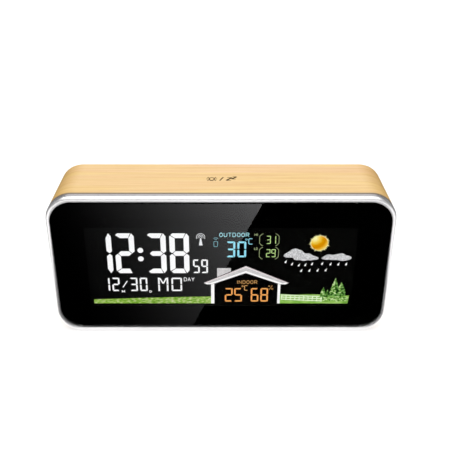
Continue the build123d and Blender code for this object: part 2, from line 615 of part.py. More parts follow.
def battery_contacts():
    """Sheet contacts against the end walls: a terminal with a solder tail and a bridge at each end."""
    made = []
    half = 4.6
    low, high = CELL_DEPTH - half, CELL_DEPTH + half
    for left, terminal_row in ((BAY_LEFT, 1), (BAY_RIGHT - CONTACT_T, -1)):
        z = BAY_Z + terminal_row * CELL_PITCH
        plate = block(left, left + CONTACT_T, low, high, z - half, z + half)
        tail = TAIL_W / 2 - 0.1
        plate += block(left, left + CONTACT_T, TAIL_TIP, low, z - tail, z + tail)
        far = BAY_Z - terminal_row * CELL_PITCH
        ends = sorted((BAY_Z + terminal_row * half, far - terminal_row * half))
        made += [plate, block(left, left + CONTACT_T, low, high, ends[0], ends[1])]
    return group(made)


# How much of a straight run an arc may take
END_RUN_SHARE, INNER_RUN_SHARE = 0.9, 0.45


def routed(points, section):
    """A wire or ribbon of the given section along straight runs joined by tangent arcs, each as
    large as its runs allow."""
    corners_in = [Vector(*point) for point in points]
    runs = [after - before for before, after in zip(corners_in, corners_in[1:])]
    shares = [INNER_RUN_SHARE * run.length for run in runs]
    shares[0], shares[-1] = END_RUN_SHARE * runs[0].length, END_RUN_SHARE * runs[-1].length
    radii = []
    for k in range(len(runs) - 1):
        half_turn = math.radians(runs[k].get_angle(runs[k + 1])) / 2
        radii.append(min(shares[k], shares[k + 1]) / math.tan(half_turn))
    path = FilletPolyline(*points, radius=radii)
    start = Plane(origin=path @ 0, x_dir=(1, 0, 0), z_dir=path % 0)
    return sweep(start * section, path=path)


POWER_LEAD_D, SIGNAL_LEAD_D = 1.2, 0.9


def bridging_lead(diameter, start, end):
    """A lead that leaves one piece towards the front, crosses, and enters the other from behind.
    Each end is x, depth and z."""
    middle = FRONT_Y + (start[1] + end[1]) / 2
    points = [
        (start[0], FRONT_Y + start[1], start[2]),
        (start[0], middle, start[2]),
        (end[0], middle, end[2]),
        (end[0], FRONT_Y + end[1], end[2]),
    ]
    return routed(points, Circle(diameter / 2))


def power_leads(side):
    """One lead from a terminal of the battery bay and one from the low-voltage inlet."""
    tail_x = BAY_LEFT + CONTACT_T / 2 if side < 0 else BAY_RIGHT - CONTACT_T / 2
    plug = (LEAD_PLUG_X + side * LEAD_PITCH / 2, BOARD_BACK + LEAD_PLUG_H, LEAD_PLUG_Z)
    battery = bridging_lead(POWER_LEAD_D, (tail_x, TAIL_TIP, tail_z(tail_x)), plug)
    x, z = JACK_X + side * 2.0, JACK_Z - side * 2.0
    inlet = bridging_lead(POWER_LEAD_D, (x, JACK_FRONT, z), (x + 16.0, BOARD_BACK, z + 1.0))
    return group([battery, inlet])


def signal_leads():
    """Leads of the climate sensor, the time signal coil and the touch foil."""
    made = []
    for dx in (-2.5, 0.0, 2.5):
        start = (VENT_X + dx, SENSOR_BACK - 1.0, VENT_Z + 7.5)
        made.append(bridging_lead(SIGNAL_LEAD_D, start, (VENT_X + 2 + dx, BOARD_BACK, VIEW_Z - 10)))
    for dx in (-2.0, 2.0):
        start = (ROD_X + dx, ROD_DEPTH - ROD_R - COIL_T, ROD_Z)
        made.append(bridging_lead(SIGNAL_LEAD_D, start, (ROD_X + dx, BOARD_BACK, ROD_Z - 6)))
    tab = BODY_D / 2 + 1 - TOUCH_D / 2 - TOUCH_TAB / 2
    back = BOARD_BACK + 4.6
    low = BOARD_Z_TOP - 5
    route = [
        (tab, TOUCH_Z - TOUCH_T),
        (tab, TOUCH_Z - 4),
        (back, TOUCH_Z - 8),
        (back, low),
        (BOARD_BACK, low),
    ]
    touch = [(0.0, FRONT_Y + depth, z) for depth, z in route]
    made.append(routed(touch, Circle(SIGNAL_LEAD_D / 2)))
    return group(made)


RIBBON_W, RIBBON_T = 18.0, 0.8


def key_ribbon():
    """Flat ribbon from the lower edge of the key board to its plug on the main board."""
    low = KEY_BOARD_Z - KEY_BOARD_H / 2 + 2.5
    x = KEY_BOARD_X
    middle = (KEY_BOARD_BACK - BOARD_T + BOARD_BACK + LEAD_PLUG_H) / 2
    points = [
        (x, FRONT_Y + KEY_BOARD_BACK - BOARD_T, low),
        (x, FRONT_Y + middle, low),
        (x, FRONT_Y + middle, RIBBON_PLUG_Z),
        (x, FRONT_Y + BOARD_BACK + LEAD_PLUG_H, RIBBON_PLUG_Z),
    ]
    return routed(points, Rectangle(RIBBON_W, RIBBON_T))


def key_board():
    front = KEY_BOARD_BACK - BOARD_T
    board = slab(KEY_BOARD_W, KEY_BOARD_H, front, KEY_BOARD_BACK, 1.0, KEY_BOARD_X, KEY_BOARD_Z)
    for x, z in corners(KEY_POST_DX, KEY_POST_DZ, KEY_BOARD_X, KEY_BOARD_Z):
        board -= rod(1.3, front, KEY_BOARD_BACK, x, z)
    return board


def key_board_screws():
    places = corners(KEY_POST_DX, KEY_POST_DZ, KEY_BOARD_X, KEY_BOARD_Z)
    return group(screw(2.1, 1.3, 1.0, 6.0, KEY_BOARD_BACK - BOARD_T, 1, x, z) for x, z in places)


SWITCH_BACK = KEY_BOARD_BACK + SWITCH_H
PLUNGER_BACK = SWITCH_BACK + PLUNGER_PROUD


def key_switches():
    """Housings of the six switches, each with a well for its plunger."""
    made = []
    for _, x, z in key_places():
        housing = slab(SWITCH_SIDE, SWITCH_SIDE, KEY_BOARD_BACK, SWITCH_BACK, 0.0, x, z)
        well = PLUNGER_SUNK + KEY_TRAVEL + 0.1
        made.append(housing - rod(PLUNGER_R + 0.05, SWITCH_BACK - well, SWITCH_BACK, x, z))
    return group(made)


def key_plunger(x, z):
    return rod(PLUNGER_R, SWITCH_BACK - PLUNGER_SUNK, PLUNGER_BACK, x, z)


def key_cap(x, z):
    """Key with a flange behind the cover and a stem on the switch plunger."""
    flange_back = COVER_IN - 0.3
    flange_front = flange_back - KEY_FLANGE_T
    top = COVER_OUT + KEY_PROUD
    cap = slab(KEY_W, KEY_H, flange_back, top, KEY_R, x, z)
    cap = fillet(cap.faces().sort_by(Axis.Y)[-1].edges(), 0.6)
    cap += slab(KEY_W + 2 * KEY_FLANGE, KEY_H + 2 * KEY_FLANGE, flange_front, flange_back, 2.0, x, z)
    return cap + slab(4.0, 3.0, PLUNGER_BACK, flange_front, 0.5, x, z)


JACK_BODY, JACK_FRONT = 9.0, COVER_OUT - JACK_L


def dc_jack():
    """Inlet housing: a square block behind the cover with a round nose in the cover's hole."""
    body = slab(JACK_BODY, JACK_BODY, JACK_FRONT, COVER_IN - 0.1, 0.6, JACK_X, JACK_Z)
    body += rod(JACK_BORE_R + 0.8, COVER_IN - 0.1, COVER_OUT - 0.2, JACK_X, JACK_Z)
    return body - rod(JACK_BORE_R, JACK_FRONT + 2.0, COVER_OUT - 0.2, JACK_X, JACK_Z)


def dc_jack_pin():
    pin = rod(JACK_PIN_R, JACK_FRONT + 2.0, COVER_OUT - 0.8, JACK_X, JACK_Z)
    return chamfer(pin.faces().sort_by(Axis.Y)[-1].edges(), 0.25)


def build():
    """Every node by name."""
    nodes = {
        "front_bezel": front_bezel(),
        "front_lens": front_lens(),
        "lens_mask": lens_mask(),
        "dust_gasket": dust_gasket(),
        **display_layers(),
        "backlight_frame": backlight_frame(),
        "led_boards": led_boards(),
        "backlight_leds": backlight_leds(),
        "zebra_strips": zebra_strips(),
        "display_clamp": display_clamp(),
        "clamp_screws": clamp_screws(),
        "main_board": main_board(),
        "main_board_screws": main_board_screws(),
        "board_chips": board_chips(),
        "board_capacitors": board_capacitors(),
        "board_crystal": board_crystal(),
        "board_connectors": board_connectors(),
        "buzzer": buzzer(),
        "receiver_board": receiver_board(),
        "receiver_antenna": receiver_antenna(),
        "time_antenna_rod": time_antenna_rod(),
        "time_antenna_coil": time_antenna_coil(),
        "climate_sensor": climate_sensor(),
        "case_sleeve": case_sleeve(),
        "rubber_feet": rubber_feet(),
        "touch_electrode": touch_electrode(),
        "rear_cover": rear_cover(),
        "case_screws": case_screws(),
        "battery_door": battery_door(),
        "battery_cells": battery_cells(),
        "battery_springs": battery_springs(),
        "battery_contacts": battery_contacts(),
        "red_leads": power_leads(-1),
        "black_leads": power_leads(1),
        "signal_leads": signal_leads(),
        "key_ribbon": key_ribbon(),
        "key_board": key_board(),
        "key_board_screws": key_board_screws(),
        "key_switches": key_switches(),
        "dc_jack": dc_jack(),
        "dc_jack_pin": dc_jack_pin(),
    }
    for name, x, z in key_places():
        nodes[name + "_key"] = key_cap(x, z)
        nodes[name + "_key_plunger"] = key_plunger(x, z)
    return nodes


os.makedirs("parts", exist_ok=True)
for node, shape in build().items():
    export_step(shape, "parts/" + node + ".step")
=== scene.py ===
import math

import bmesh
import bpy
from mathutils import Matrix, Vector

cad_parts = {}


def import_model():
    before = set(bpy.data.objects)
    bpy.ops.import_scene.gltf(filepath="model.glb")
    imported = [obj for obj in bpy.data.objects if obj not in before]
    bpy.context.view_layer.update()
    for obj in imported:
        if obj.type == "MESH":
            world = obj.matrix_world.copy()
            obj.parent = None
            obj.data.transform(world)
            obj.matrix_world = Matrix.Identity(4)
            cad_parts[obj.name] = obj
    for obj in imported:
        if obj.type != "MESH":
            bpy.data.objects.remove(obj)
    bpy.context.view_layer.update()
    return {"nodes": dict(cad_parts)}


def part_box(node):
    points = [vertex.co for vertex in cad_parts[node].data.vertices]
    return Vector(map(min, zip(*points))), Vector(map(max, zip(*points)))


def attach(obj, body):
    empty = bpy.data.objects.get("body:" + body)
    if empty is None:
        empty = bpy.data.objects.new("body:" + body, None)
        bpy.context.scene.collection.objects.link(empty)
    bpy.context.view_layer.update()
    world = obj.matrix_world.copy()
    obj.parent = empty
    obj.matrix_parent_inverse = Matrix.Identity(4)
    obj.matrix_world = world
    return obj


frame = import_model()

MM = 0.001
CASE = "case"

# Places taken from the frame
FACE_LOW, FACE_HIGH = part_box("front_bezel")
FRONT_Y = FACE_LOW.y
FACE_Z = (FACE_LOW.z + FACE_HIGH.z) / 2
SLEEVE_LOW, SLEEVE_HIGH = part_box("case_sleeve")
TOP_Z = SLEEVE_HIGH.z
POLARISER_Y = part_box("lcd_front_polariser")[0].y
COVER_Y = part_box("rear_cover")[1].y

KEY_NAMES = ("mode", "alarm", "memory", "channel", "up", "down")


# ---- node helpers ----

def new_material(name):
    """An empty node material with one Principled shader. Returns material, tree and shader."""
    material = bpy.data.materials.new(name)
    material.use_nodes = True
    tree = material.node_tree
    tree.nodes.clear()
    shader = tree.nodes.new("ShaderNodeBsdfPrincipled")
    output = tree.nodes.new("ShaderNodeOutputMaterial")
    tree.links.new(shader.outputs["BSDF"], output.inputs["Surface"])
    return material, tree, shader


def stretched_place(tree, scale):
    """Object coordinates, scaled on each axis."""
    place = tree.nodes.new("ShaderNodeTexCoord")
    stretch = tree.nodes.new("ShaderNodeMapping")
    stretch.inputs["Scale"].default_value = scale
    tree.links.new(place.outputs["Object"], stretch.inputs["Vector"])
    return stretch.outputs["Vector"]


def noise(tree, scale, detail=3.0, distortion=0.0):
    """Noise stretched by scale on each axis. Returns its 0 to 1 output."""
    node = tree.nodes.new("ShaderNodeTexNoise")
    node.inputs["Scale"].default_value = 1.0
    node.inputs["Detail"].default_value = detail
    node.inputs["Distortion"].default_value = distortion
    tree.links.new(stretched_place(tree, scale), node.inputs["Vector"])
    return node.outputs["Fac"]


def spread(tree, value, low, high, start=0.3, end=0.7):
    """Maps value from start..end to low..high."""
    node = tree.nodes.new("ShaderNodeMapRange")
    for name, number in (("From Min", start), ("From Max", end), ("To Min", low), ("To Max", high)):
        node.inputs[name].default_value = number
    tree.links.new(value, node.inputs["Value"])
    return node.outputs["Result"]


def ramp(tree, value, stops):
    """Colour ramp from (place, colour) stops."""
    node = tree.nodes.new("ShaderNodeValToRGB")
    elements = node.color_ramp.elements
    while len(elements) < len(stops):
        elements.new(0.5)
    for element, (place, colour) in zip(elements, stops):
        element.position = place
        element.color = (*colour, 1.0)
    tree.links.new(value, node.inputs["Fac"])
    return node.outputs["Color"]


def mixed(tree, factor, first, second, mode="MIX"):
    """Mixes two colours. A factor or a colour may be a value or an output."""
    node = tree.nodes.new("ShaderNodeMix")
    node.data_type = "RGBA"
    node.blend_type = mode
    for socket, thing in (("Factor_Float", factor), ("A_Color", first), ("B_Color", second)):
        target = next(s for s in node.inputs if s.identifier == socket)
        if isinstance(thing, bpy.types.NodeSocket):
            tree.links.new(thing, target)
        else:
            target.default_value = thing if isinstance(thing, float) else (*thing, 1.0)
    return next(s for s in node.outputs if s.identifier == "Result_Color")


def bumped(tree, shader, height, depth, strength=1.0):
    """Tilts the shader's normals by a height that is depth metres at most."""
    node = tree.nodes.new("ShaderNodeBump")
    node.inputs["Distance"].default_value = depth
    node.inputs["Strength"].default_value = strength
    tree.links.new(height, node.inputs["Height"])
    tree.links.new(node.outputs["Normal"], shader.inputs["Normal"])


def shaded(colour, amount):
    """The colour times amount, and no channel over 1."""
    return tuple(min(1.0, c * amount) for c in colour)


def surface(name, colour, rough, metal=0.0, tint=0.08, grain=(400, 400, 400), bump=0.00002, fine=2500):
    """A material with mottled colour and roughness and a fine bump, for plain pieces."""
    material, tree, shader = new_material(name)
    mottle = noise(tree, grain)
    colours = [(0.3, shaded(colour, 1 - tint)), (0.7, shaded(colour, 1 + tint))]
    tree.links.new(ramp(tree, mottle, colours), shader.inputs["Base Color"])
    tree.links.new(spread(tree, mottle, rough * 0.85, min(1.0, rough * 1.15)), shader.inputs["Roughness"])
    shader.inputs["Metallic"].default_value = metal
    bumped(tree, shader, noise(tree, (fine, fine, fine), detail=2.0), bump)
    return material


# ---- materials ----

def axis_value(tree, axis, kind="Object"):
    """One coordinate, which is in metres for the kind Object."""
    place = tree.nodes.new("ShaderNodeTexCoord")
    split = tree.nodes.new("ShaderNodeSeparateXYZ")
    tree.links.new(place.outputs[kind], split.inputs["Vector"])
    return split.outputs[axis]


def distance_from_middle(tree, axis, kind="Object"):
    """The same coordinate without its sign."""
    node = tree.nodes.new("ShaderNodeMath")
    node.operation = "ABSOLUTE"
    tree.links.new(axis_value(tree, axis, kind), node.inputs[0])
    return node.outputs["Value"]


def wood_grain():
    """Light maple print. The grain follows the wrap of the case, so it is long along X and Z
    and fine along Y. Painted shade darkens it round the ends, and a painted shadow along its front edge."""
    material, tree, shader = new_material("wood_grain")
    bands = noise(tree, (6, 70, 6), detail=2.0, distortion=0.4)
    streaks = noise(tree, (14, 520, 14), detail=5.0, distortion=0.6)
    threads = noise(tree, (40, 2400, 40), detail=3.0)
    dashes = noise(tree, (160, 4200, 160), detail=1.0)
    tones = [(0.30, (0.82, 0.545, 0.285)), (0.46, (0.81, 0.575, 0.285)), (0.54, (0.83, 0.60, 0.26)),
             (0.72, (0.83, 0.555, 0.33))]
    base = ramp(tree, bands, tones)
    streaky = mixed(tree, spread(tree, streaks, 0.0, 1.0, 0.42, 0.72), base, (0.73, 0.47, 0.205))
    thready = mixed(tree, spread(tree, threads, 0.0, 0.34, 0.45, 0.75), streaky, (0.62, 0.385, 0.165))
    pored = mixed(tree, spread(tree, dashes, 0.0, 0.35, 0.64, 0.74), thready, (0.50, 0.29, 0.12))
    # Painted shade: the print darkens towards the rounded ends, where the wrap turns away from the light.
    side = SLEEVE_HIGH.x
    ends = spread(tree, distance_from_middle(tree, "X"), 0.0, 1.0, side - 0.016, side - 0.004)
    end_shaded = mixed(tree, ends, pored, mixed(tree, 1.0, pored, (0.80, 0.73, 0.52), "MULTIPLY"))
    # Painted shadow: a dark band along the front edge of the print stands for the shadow in the gap at the
    # seam.
    cut = spread(tree, axis_value(tree, "Y"), 1.0, 0.0, SLEEVE_LOW.y + 0.0005, SLEEVE_LOW.y + 0.0013)
    end_and_seam_shaded = mixed(tree, cut, end_shaded, (0.20, 0.155, 0.09))
    tree.links.new(end_and_seam_shaded, shader.inputs["Base Color"])
    tree.links.new(spread(tree, streaks, 0.38, 0.52), shader.inputs["Roughness"])
    bumped(tree, shader, threads, 0.00003, 0.6)
    return material


def satin_silver():
    """Silver finish of the trim, with painted shade that darkens it towards its rear edge."""
    material, tree, shader = new_material("satin_silver")
    flakes = noise(tree, (5000, 5000, 5000), detail=1.0)
    clouds = noise(tree, (60, 60, 60))
    colour = ramp(tree, clouds, [(0.3, (0.83, 0.82, 0.83)), (0.7, (0.89, 0.88, 0.88))])
    # Painted shade: the trim is darkened behind its rounded edge, towards the seam with the sleeve.
    rear = spread(tree, axis_value(tree, "Y"), 0.0, 1.0, FRONT_Y + 0.0024, FRONT_Y + 0.0038)
    shaded_rear = mixed(tree, rear, colour, mixed(tree, 1.0, colour, (0.88, 0.83, 0.85), "MULTIPLY"))
    tree.links.new(shaded_rear, shader.inputs["Base Color"])
    tree.links.new(spread(tree, flakes, 0.20, 0.30), shader.inputs["Roughness"])
    shader.inputs["Metallic"].default_value = 0.76
    bumped(tree, shader, flakes, 0.000004)
    return material


def clear_acrylic(name, rough):
    """Clear plastic or glass with a faint uneven haze, up to rough."""
    material, tree, shader = new_material(name)
    shader.inputs["Base Color"].default_value = (0.97, 0.975, 0.98, 1.0)
    shader.inputs["Transmission Weight"].default_value = 1.0
    shader.inputs["IOR"].default_value = 1.49
    haze = noise(tree, (35, 35, 35), detail=4.0)
    tree.links.new(spread(tree, haze, 0.0, rough), shader.inputs["Roughness"])
    return material


def textured_black():
    """Moulded black plastic with an eroded grain."""
    material, tree, shader = new_material("textured_black")
    grain = noise(tree, (2600, 2600, 2600), detail=2.0)
    clouds = noise(tree, (90, 90, 90))
    tones = ramp(tree, clouds, [(0.3, (0.014, 0.014, 0.016)), (0.7, (0.024, 0.024, 0.026))])
    tree.links.new(tones, shader.inputs["Base Color"])
    tree.links.new(spread(tree, grain, 0.42, 0.66), shader.inputs["Roughness"])
    bumped(tree, shader, grain, 0.00005)
    return material


def matt_ink(name, colour):
    """Ink or film without any gloss."""
    material, tree, shader = new_material(name)
    mottle = noise(tree, (700, 700, 700))
    tones = ramp(tree, mottle, [(0.3, shaded(colour, 0.85)), (0.7, shaded(colour, 1.15))])
    tree.links.new(tones, shader.inputs["Base Color"])
    shader.inputs["Roughness"].default_value = 0.6
    shader.inputs["Specular IOR Level"].default_value = 0.0
    return material


def glowing(name):
    """A material that only gives light. Returns material, tree and shader."""
    material, tree, shader = new_material(name)
    shader.inputs["Base Color"].default_value = (0.0, 0.0, 0.0, 1.0)
    shader.inputs["Specular IOR Level"].default_value = 0.0
    return material, tree, shader


def lit(name, colour, strength=1.0, mottle=0.05, scale=(120, 120, 120)):
    """A display segment lit from behind: an even colour with a faint unevenness."""
    material, tree, shader = glowing(name)
    uneven = noise(tree, scale)
    glow = ramp(tree, uneven, [(0.3, shaded(colour, 1 - mottle)), (0.7, shaded(colour, 1 + mottle))])
    tree.links.new(glow, shader.inputs["Emission Color"])
    shader.inputs["Emission Strength"].default_value = strength
    return material


def lit_pattern(name, stops, scale, strength=1.0):
    """A printed area of the display lit from behind, in several colours."""
    material, tree, shader = glowing(name)
    tree.links.new(ramp(tree, noise(tree, scale, detail=4.0), stops), shader.inputs["Emission Color"])
    shader.inputs["Emission Strength"].default_value = strength
    return material


def lit_sun(centre, radius):
    """Golden disc, pale at the upper left and amber at the lower right."""
    material, tree, shader = glowing("lit_sun")
    place = tree.nodes.new("ShaderNodeTexCoord")
    offset = tree.nodes.new("ShaderNodeVectorMath")
    offset.operation = "DISTANCE"
    offset.inputs[1].default_value = centre + Vector((-0.55, 0.0, 0.75)) * radius
    tree.links.new(place.outputs["Object"], offset.inputs[0])
    depth = spread(tree, offset.outputs["Value"], 0.0, 1.0, 0.0, radius * 2.0)
    swirl = mixed(tree, 0.15, depth, noise(tree, (260, 260, 420), distortion=1.5))
    stops = [(0.16, (1.0, 0.95, 0.42)), (0.32, (0.98, 0.68, 0.08)), (0.47, (0.80, 0.36, 0.0)),
             (0.62, (0.70, 0.25, 0.0)), (0.76, (0.92, 0.52, 0.03)), (0.86, (1.0, 0.72, 0.22))]
    tree.links.new(ramp(tree, swirl, stops), shader.inputs["Emission Color"])
    shader.inputs["Emission Strength"].default_value = 1.0
    return material


def circuit_green():
    """Solder mask over copper tracks, which show as paler streaks."""
    material, tree, shader = new_material("circuit_green")
    tracks = noise(tree, (500, 10, 60), detail=1.0)
    colour = ramp(tree, tracks, [(0.46, (0.012, 0.10, 0.04)), (0.5, (0.02, 0.17, 0.07))])
    tree.links.new(colour, shader.inputs["Base Color"])
    shader.inputs["Roughness"].default_value = 0.35
    bumped(tree, shader, tracks, 0.00003)
    return material


def cell_sleeve():
    """Printed sleeve of the cells: a dark body with a copper-coloured shoulder at the positive
    end, which is turned round on the middle cell."""
    material, tree, shader = new_material("cell_sleeve")
    low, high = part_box("battery_cells")
    bare, copper = (0.60, 0.60, 0.60), (0.62, 0.30, 0.10)
    stops = [(0.0, bare), (0.05, bare), (0.055, copper), (0.30, copper), (0.305, (0.03, 0.06, 0.10)),
             (0.96, (0.035, 0.07, 0.12)), (0.965, bare)]
    outer = ramp(tree, spread(tree, axis_value(tree, "X"), 0.0, 1.0, low.x, high.x), stops)
    middle = ramp(tree, spread(tree, axis_value(tree, "X"), 1.0, 0.0, low.x, high.x), stops)
    third = (high.z - low.z) / 3
    below = spread(tree, axis_value(tree, "Z"), 0.0, 1.0, low.z + third, low.z + third + 0.0001)
    above = spread(tree, axis_value(tree, "Z"), 1.0, 0.0, high.z - third - 0.0001, high.z - third)
    turned = mixed(tree, below, outer, mixed(tree, above, outer, middle))
    tree.links.new(mixed(tree, 0.03, turned, noise(tree, (300, 300, 300))), shader.inputs["Base Color"])
    tree.links.new(spread(tree, noise(tree, (900, 900, 900)), 0.22, 0.34), shader.inputs["Roughness"])
    shader.inputs["Metallic"].default_value = 0.5
    return material


def assign(material, *nodes):
    """Gives the material to the CAD nodes."""
    for name in nodes:
        mesh = frame["nodes"][name].data
        mesh.materials.clear()
        mesh.materials.append(material)


def dress_case():
    """Finishes of the casing, its feet and its screws."""
    assign(wood_grain(), "case_sleeve")
    assign(satin_silver(), "front_bezel")
    assign(textured_black(), "rear_cover", "battery_door", "display_clamp")
    assign(surface("foot_rubber", (0.025, 0.025, 0.025), 0.85, bump=0.00006), "rubber_feet")
    steel = surface("zinc_steel", (0.55, 0.56, 0.58), 0.32, metal=1.0, grain=(900, 200, 900), bump=0.00001)
    assign(steel, "clamp_screws", "main_board_screws", "key_board_screws", "case_screws")


def dress_display():
    """Finishes of the window and of the layers behind it."""
    assign(clear_acrylic("window_acrylic", 0.02), "front_lens")
    assign(clear_acrylic("display_glass", 0.03), "lcd_front_glass", "lcd_rear_glass")
    assign(clear_acrylic("guide_acrylic", 0.08), "light_guide")
    assign(matt_ink("mask_ink", (0.0003, 0.0003, 0.0003)), "lens_mask")
    film = matt_ink("polariser_film", (0.0062, 0.0062, 0.0061))
    assign(film, "lcd_front_polariser", "lcd_rear_polariser")
    zones = surface("colour_film_print", (0.10, 0.30, 0.38), 0.4, tint=0.4, grain=(60, 10, 60))
    assign(zones, "colour_film")
    foam = surface("gasket_foam", (0.03, 0.03, 0.03), 0.95, grain=(1500, 1500, 1500), bump=0.0001)
    assign(foam, "dust_gasket")
    assign(surface("led_lens", (0.85, 0.78, 0.40), 0.25), "backlight_leds")
    assign(surface("grey_rubber", (0.12, 0.12, 0.13), 0.8, grain=(40, 2000, 2000)), "zebra_strips")
    white = surface("white_moulding", (0.82, 0.82, 0.80), 0.5)
    assign(white, "diffuser_sheet", "reflector_sheet", "backlight_frame", "board_connectors")


def dress_electronics():
    """Finishes of the boards and of what is on them or wired to them."""
    assign(circuit_green(), "led_boards", "main_board", "receiver_board", "climate_sensor", "key_board")
    chip = surface("chip_moulding", (0.028, 0.028, 0.032), 0.6)
    assign(chip, "board_chips", "key_switches")
    tin = surface("drawn_aluminium", (0.70, 0.71, 0.73), 0.3, metal=1.0, grain=(60, 1500, 60), bump=0.00001)
    assign(tin, "board_capacitors", "board_crystal")
    assign(surface("smooth_black", (0.02, 0.02, 0.022), 0.28, bump=0.000008), "buzzer", "dc_jack")
    copper = surface("bright_copper", (0.62, 0.28, 0.13), 0.3, metal=1.0, grain=(3000, 60, 60), bump=0.00002)
    assign(copper, "receiver_antenna", "time_antenna_coil", "touch_electrode")
    assign(surface("ferrite", (0.035, 0.035, 0.04), 0.55, bump=0.00005), "time_antenna_rod")


def dress_power_and_wiring():
    """Finishes of the cells, their contacts and the leads."""
    assign(cell_sleeve(), "battery_cells")
    fine = (800, 800, 800)
    nickel = surface("nickel_plate", (0.70, 0.68, 0.63), 0.22, metal=1.0, grain=fine, bump=0.000008)
    assign(nickel, "battery_springs", "battery_contacts", "dc_jack_pin")
    for name, colour in (("red", (0.45, 0.015, 0.012)), ("black", (0.02, 0.02, 0.02))):
        assign(surface(name + "_insulation", colour, 0.4, grain=(300, 300, 300)), name + "_leads")
    assign(surface("white_insulation", (0.75, 0.75, 0.72), 0.4, grain=(300, 300, 300)), "signal_leads")
    assign(surface("ribbon_grey", (0.36, 0.37, 0.40), 0.45, grain=(900, 10, 10), tint=0.25), "key_ribbon")


def dress_keys():
    """Finishes of the six keys."""
    cap = surface("key_black", (0.03, 0.03, 0.033), 0.38, bump=0.00001)
    plunger = surface("plunger_black", (0.022, 0.022, 0.024), 0.3)
    for name in KEY_NAMES:
        assign(cap, name + "_key")
        assign(plunger, name + "_key_plunger")


def dress_frame():
    """Gives every CAD node its finish."""
    dress_case()
    dress_display()
    dress_electronics()
    dress_power_and_wiring()
    dress_keys()


# ---- flat pieces on a plane of the case ----

# Letters as lines in a box one wide and one high
LETTERS = {
    "A": [[(0, 0), (0.5, 1), (1, 0)], [(0.2, 0.35), (0.8, 0.35)]],
    "D": [[(0, 0), (0.6, 0), (1, 0.3), (1, 0.7), (0.6, 1), (0, 1), (0, 0)]],
    "H": [[(0, 0), (0, 1)], [(1, 0), (1, 1)], [(0, 0.5), (1, 0.5)]],
    "I": [[(0.5, 0), (0.5, 1)]],
    "L": [[(0, 1), (0, 0), (1, 0)]],
    "M": [[(0, 0), (0, 1), (0.5, 0.35), (1, 1), (1, 0)]],
    "N": [[(0, 0), (0, 1), (1, 0), (1, 1)]],
    "O": [[(0.3, 0), (0.7, 0), (1, 0.3), (1, 0.7), (0.7, 1), (0.3, 1), (0, 0.7), (0, 0.3), (0.3, 0)]],
    "R": [[(0, 0), (0, 1), (0.7, 1), (1, 0.85), (1, 0.62), (0.7, 0.47), (0, 0.47)], [(0.5, 0.47), (1, 0)]],
    "T": [[(0, 1), (1, 1)], [(0.5, 1), (0.5, 0)]],
    "U": [[(0, 1), (0, 0.3), (0.3, 0), (0.7, 0), (1, 0.3), (1, 1)]],
    "Y": [[(0, 1), (0.5, 0.5), (1, 1)], [(0.5, 0.5), (0.5, 0)]],
}

# Width of an I, as a share of the other letters
NARROW = 0.2


class Sheet:
    """Collects outlines in millimetres on one plane, and turns them into one thin solid mesh.

    across and up are the plane's directions, out points to the reader, and origin is where (0, 0)
    lies on the plane. Everything on a sheet is equally thick.
    """

    def __init__(self, origin, across, up, out, thick=0.04):
        self.origin, self.across, self.up, self.out = origin, across, up, out
        self.thick = thick
        self.mesh = bmesh.new()

    def point(self, x, y, lift):
        """Where (x, y) lies, lift millimetres in front of the plane."""
        return self.origin + (self.across * x + self.up * y + self.out * lift) * MM

    def outline(self, points, lift=0.0):
        """A closed prism over the outline, its back at lift."""
        area = sum(a[0] * b[1] - b[0] * a[1] for a, b in zip(points, points[1:] + points[:1]))
        if area < 0:
            points = points[::-1]
        low = [self.mesh.verts.new(self.point(x, y, lift)) for x, y in points]
        high = [self.mesh.verts.new(self.point(x, y, lift + self.thick)) for x, y in points]
        self.mesh.faces.new(high)
        self.mesh.faces.new(low[::-1])
        count = len(points)
        for k in range(count):
            after = (k + 1) % count
            self.mesh.faces.new((low[k], low[after], high[after], high[k]))

    def stroke(self, points, width, lift=0.0, closed=False):
        """A line of even width through the points, mitred at its corners."""
        count = len(points)
        left, right = [], []
        for k, here in enumerate(points):
            before = points[k - 1] if k or closed else None
            after = points[(k + 1) % count] if k < count - 1 or closed else None
            legs = ((before, here), (here, after))
            ways = [unit(a, b) for a, b in legs if a is not None and b is not None]
            way = unit((0, 0), (sum(w[0] for w in ways), sum(w[1] for w in ways)))
            spread_out = width / 2 / max(0.4, way[0] * ways[0][0] + way[1] * ways[0][1])
            left.append((here[0] - way[1] * spread_out, here[1] + way[0] * spread_out))
            right.append((here[0] + way[1] * spread_out, here[1] - way[0] * spread_out))
        if closed:
            for k in range(count):
                after = (k + 1) % count
                self.outline([right[k], right[after], left[after], left[k]], lift)
        else:
            self.outline(right + left[::-1], lift)

    def words(self, text, left, low, width, height, line, gap=0.30):
        """Plain lettering in thin lines that fills the given box. The gap is a share of a letter."""
        shares = [NARROW if char == "I" else 1.0 for char in text]
        wide = (width - line) / (sum(shares) + gap * (len(text) - 1))
        start = left + line / 2
        for char, share in zip(text, shares):
            for way in LETTERS[char]:
                points = [(start + x * wide * share, low + line / 2 + y * (height - line)) for x, y in way]
                loop = points[0] == points[-1]
                self.stroke(points[:-1] if loop else points, line, closed=loop)
            start += wide * (share + gap)

    def piece(self, name, material, slot, body=CASE):
        """Makes what was collected into one piece that rides on the body."""
        bmesh.ops.recalc_face_normals(self.mesh, faces=self.mesh.faces)
        data = bpy.data.meshes.new(name)
        self.mesh.to_mesh(data)
        self.mesh.free()
        made = bpy.data.objects.new(name, data)
        bpy.context.scene.collection.objects.link(made)
        data.materials.append(material)
        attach(made, body)


def unit(start, end):
    """Direction from start to end, one long."""
    dx, dy = end[0] - start[0], end[1] - start[1]
    length = math.hypot(dx, dy) or 1.0
    return dx / length, dy / length


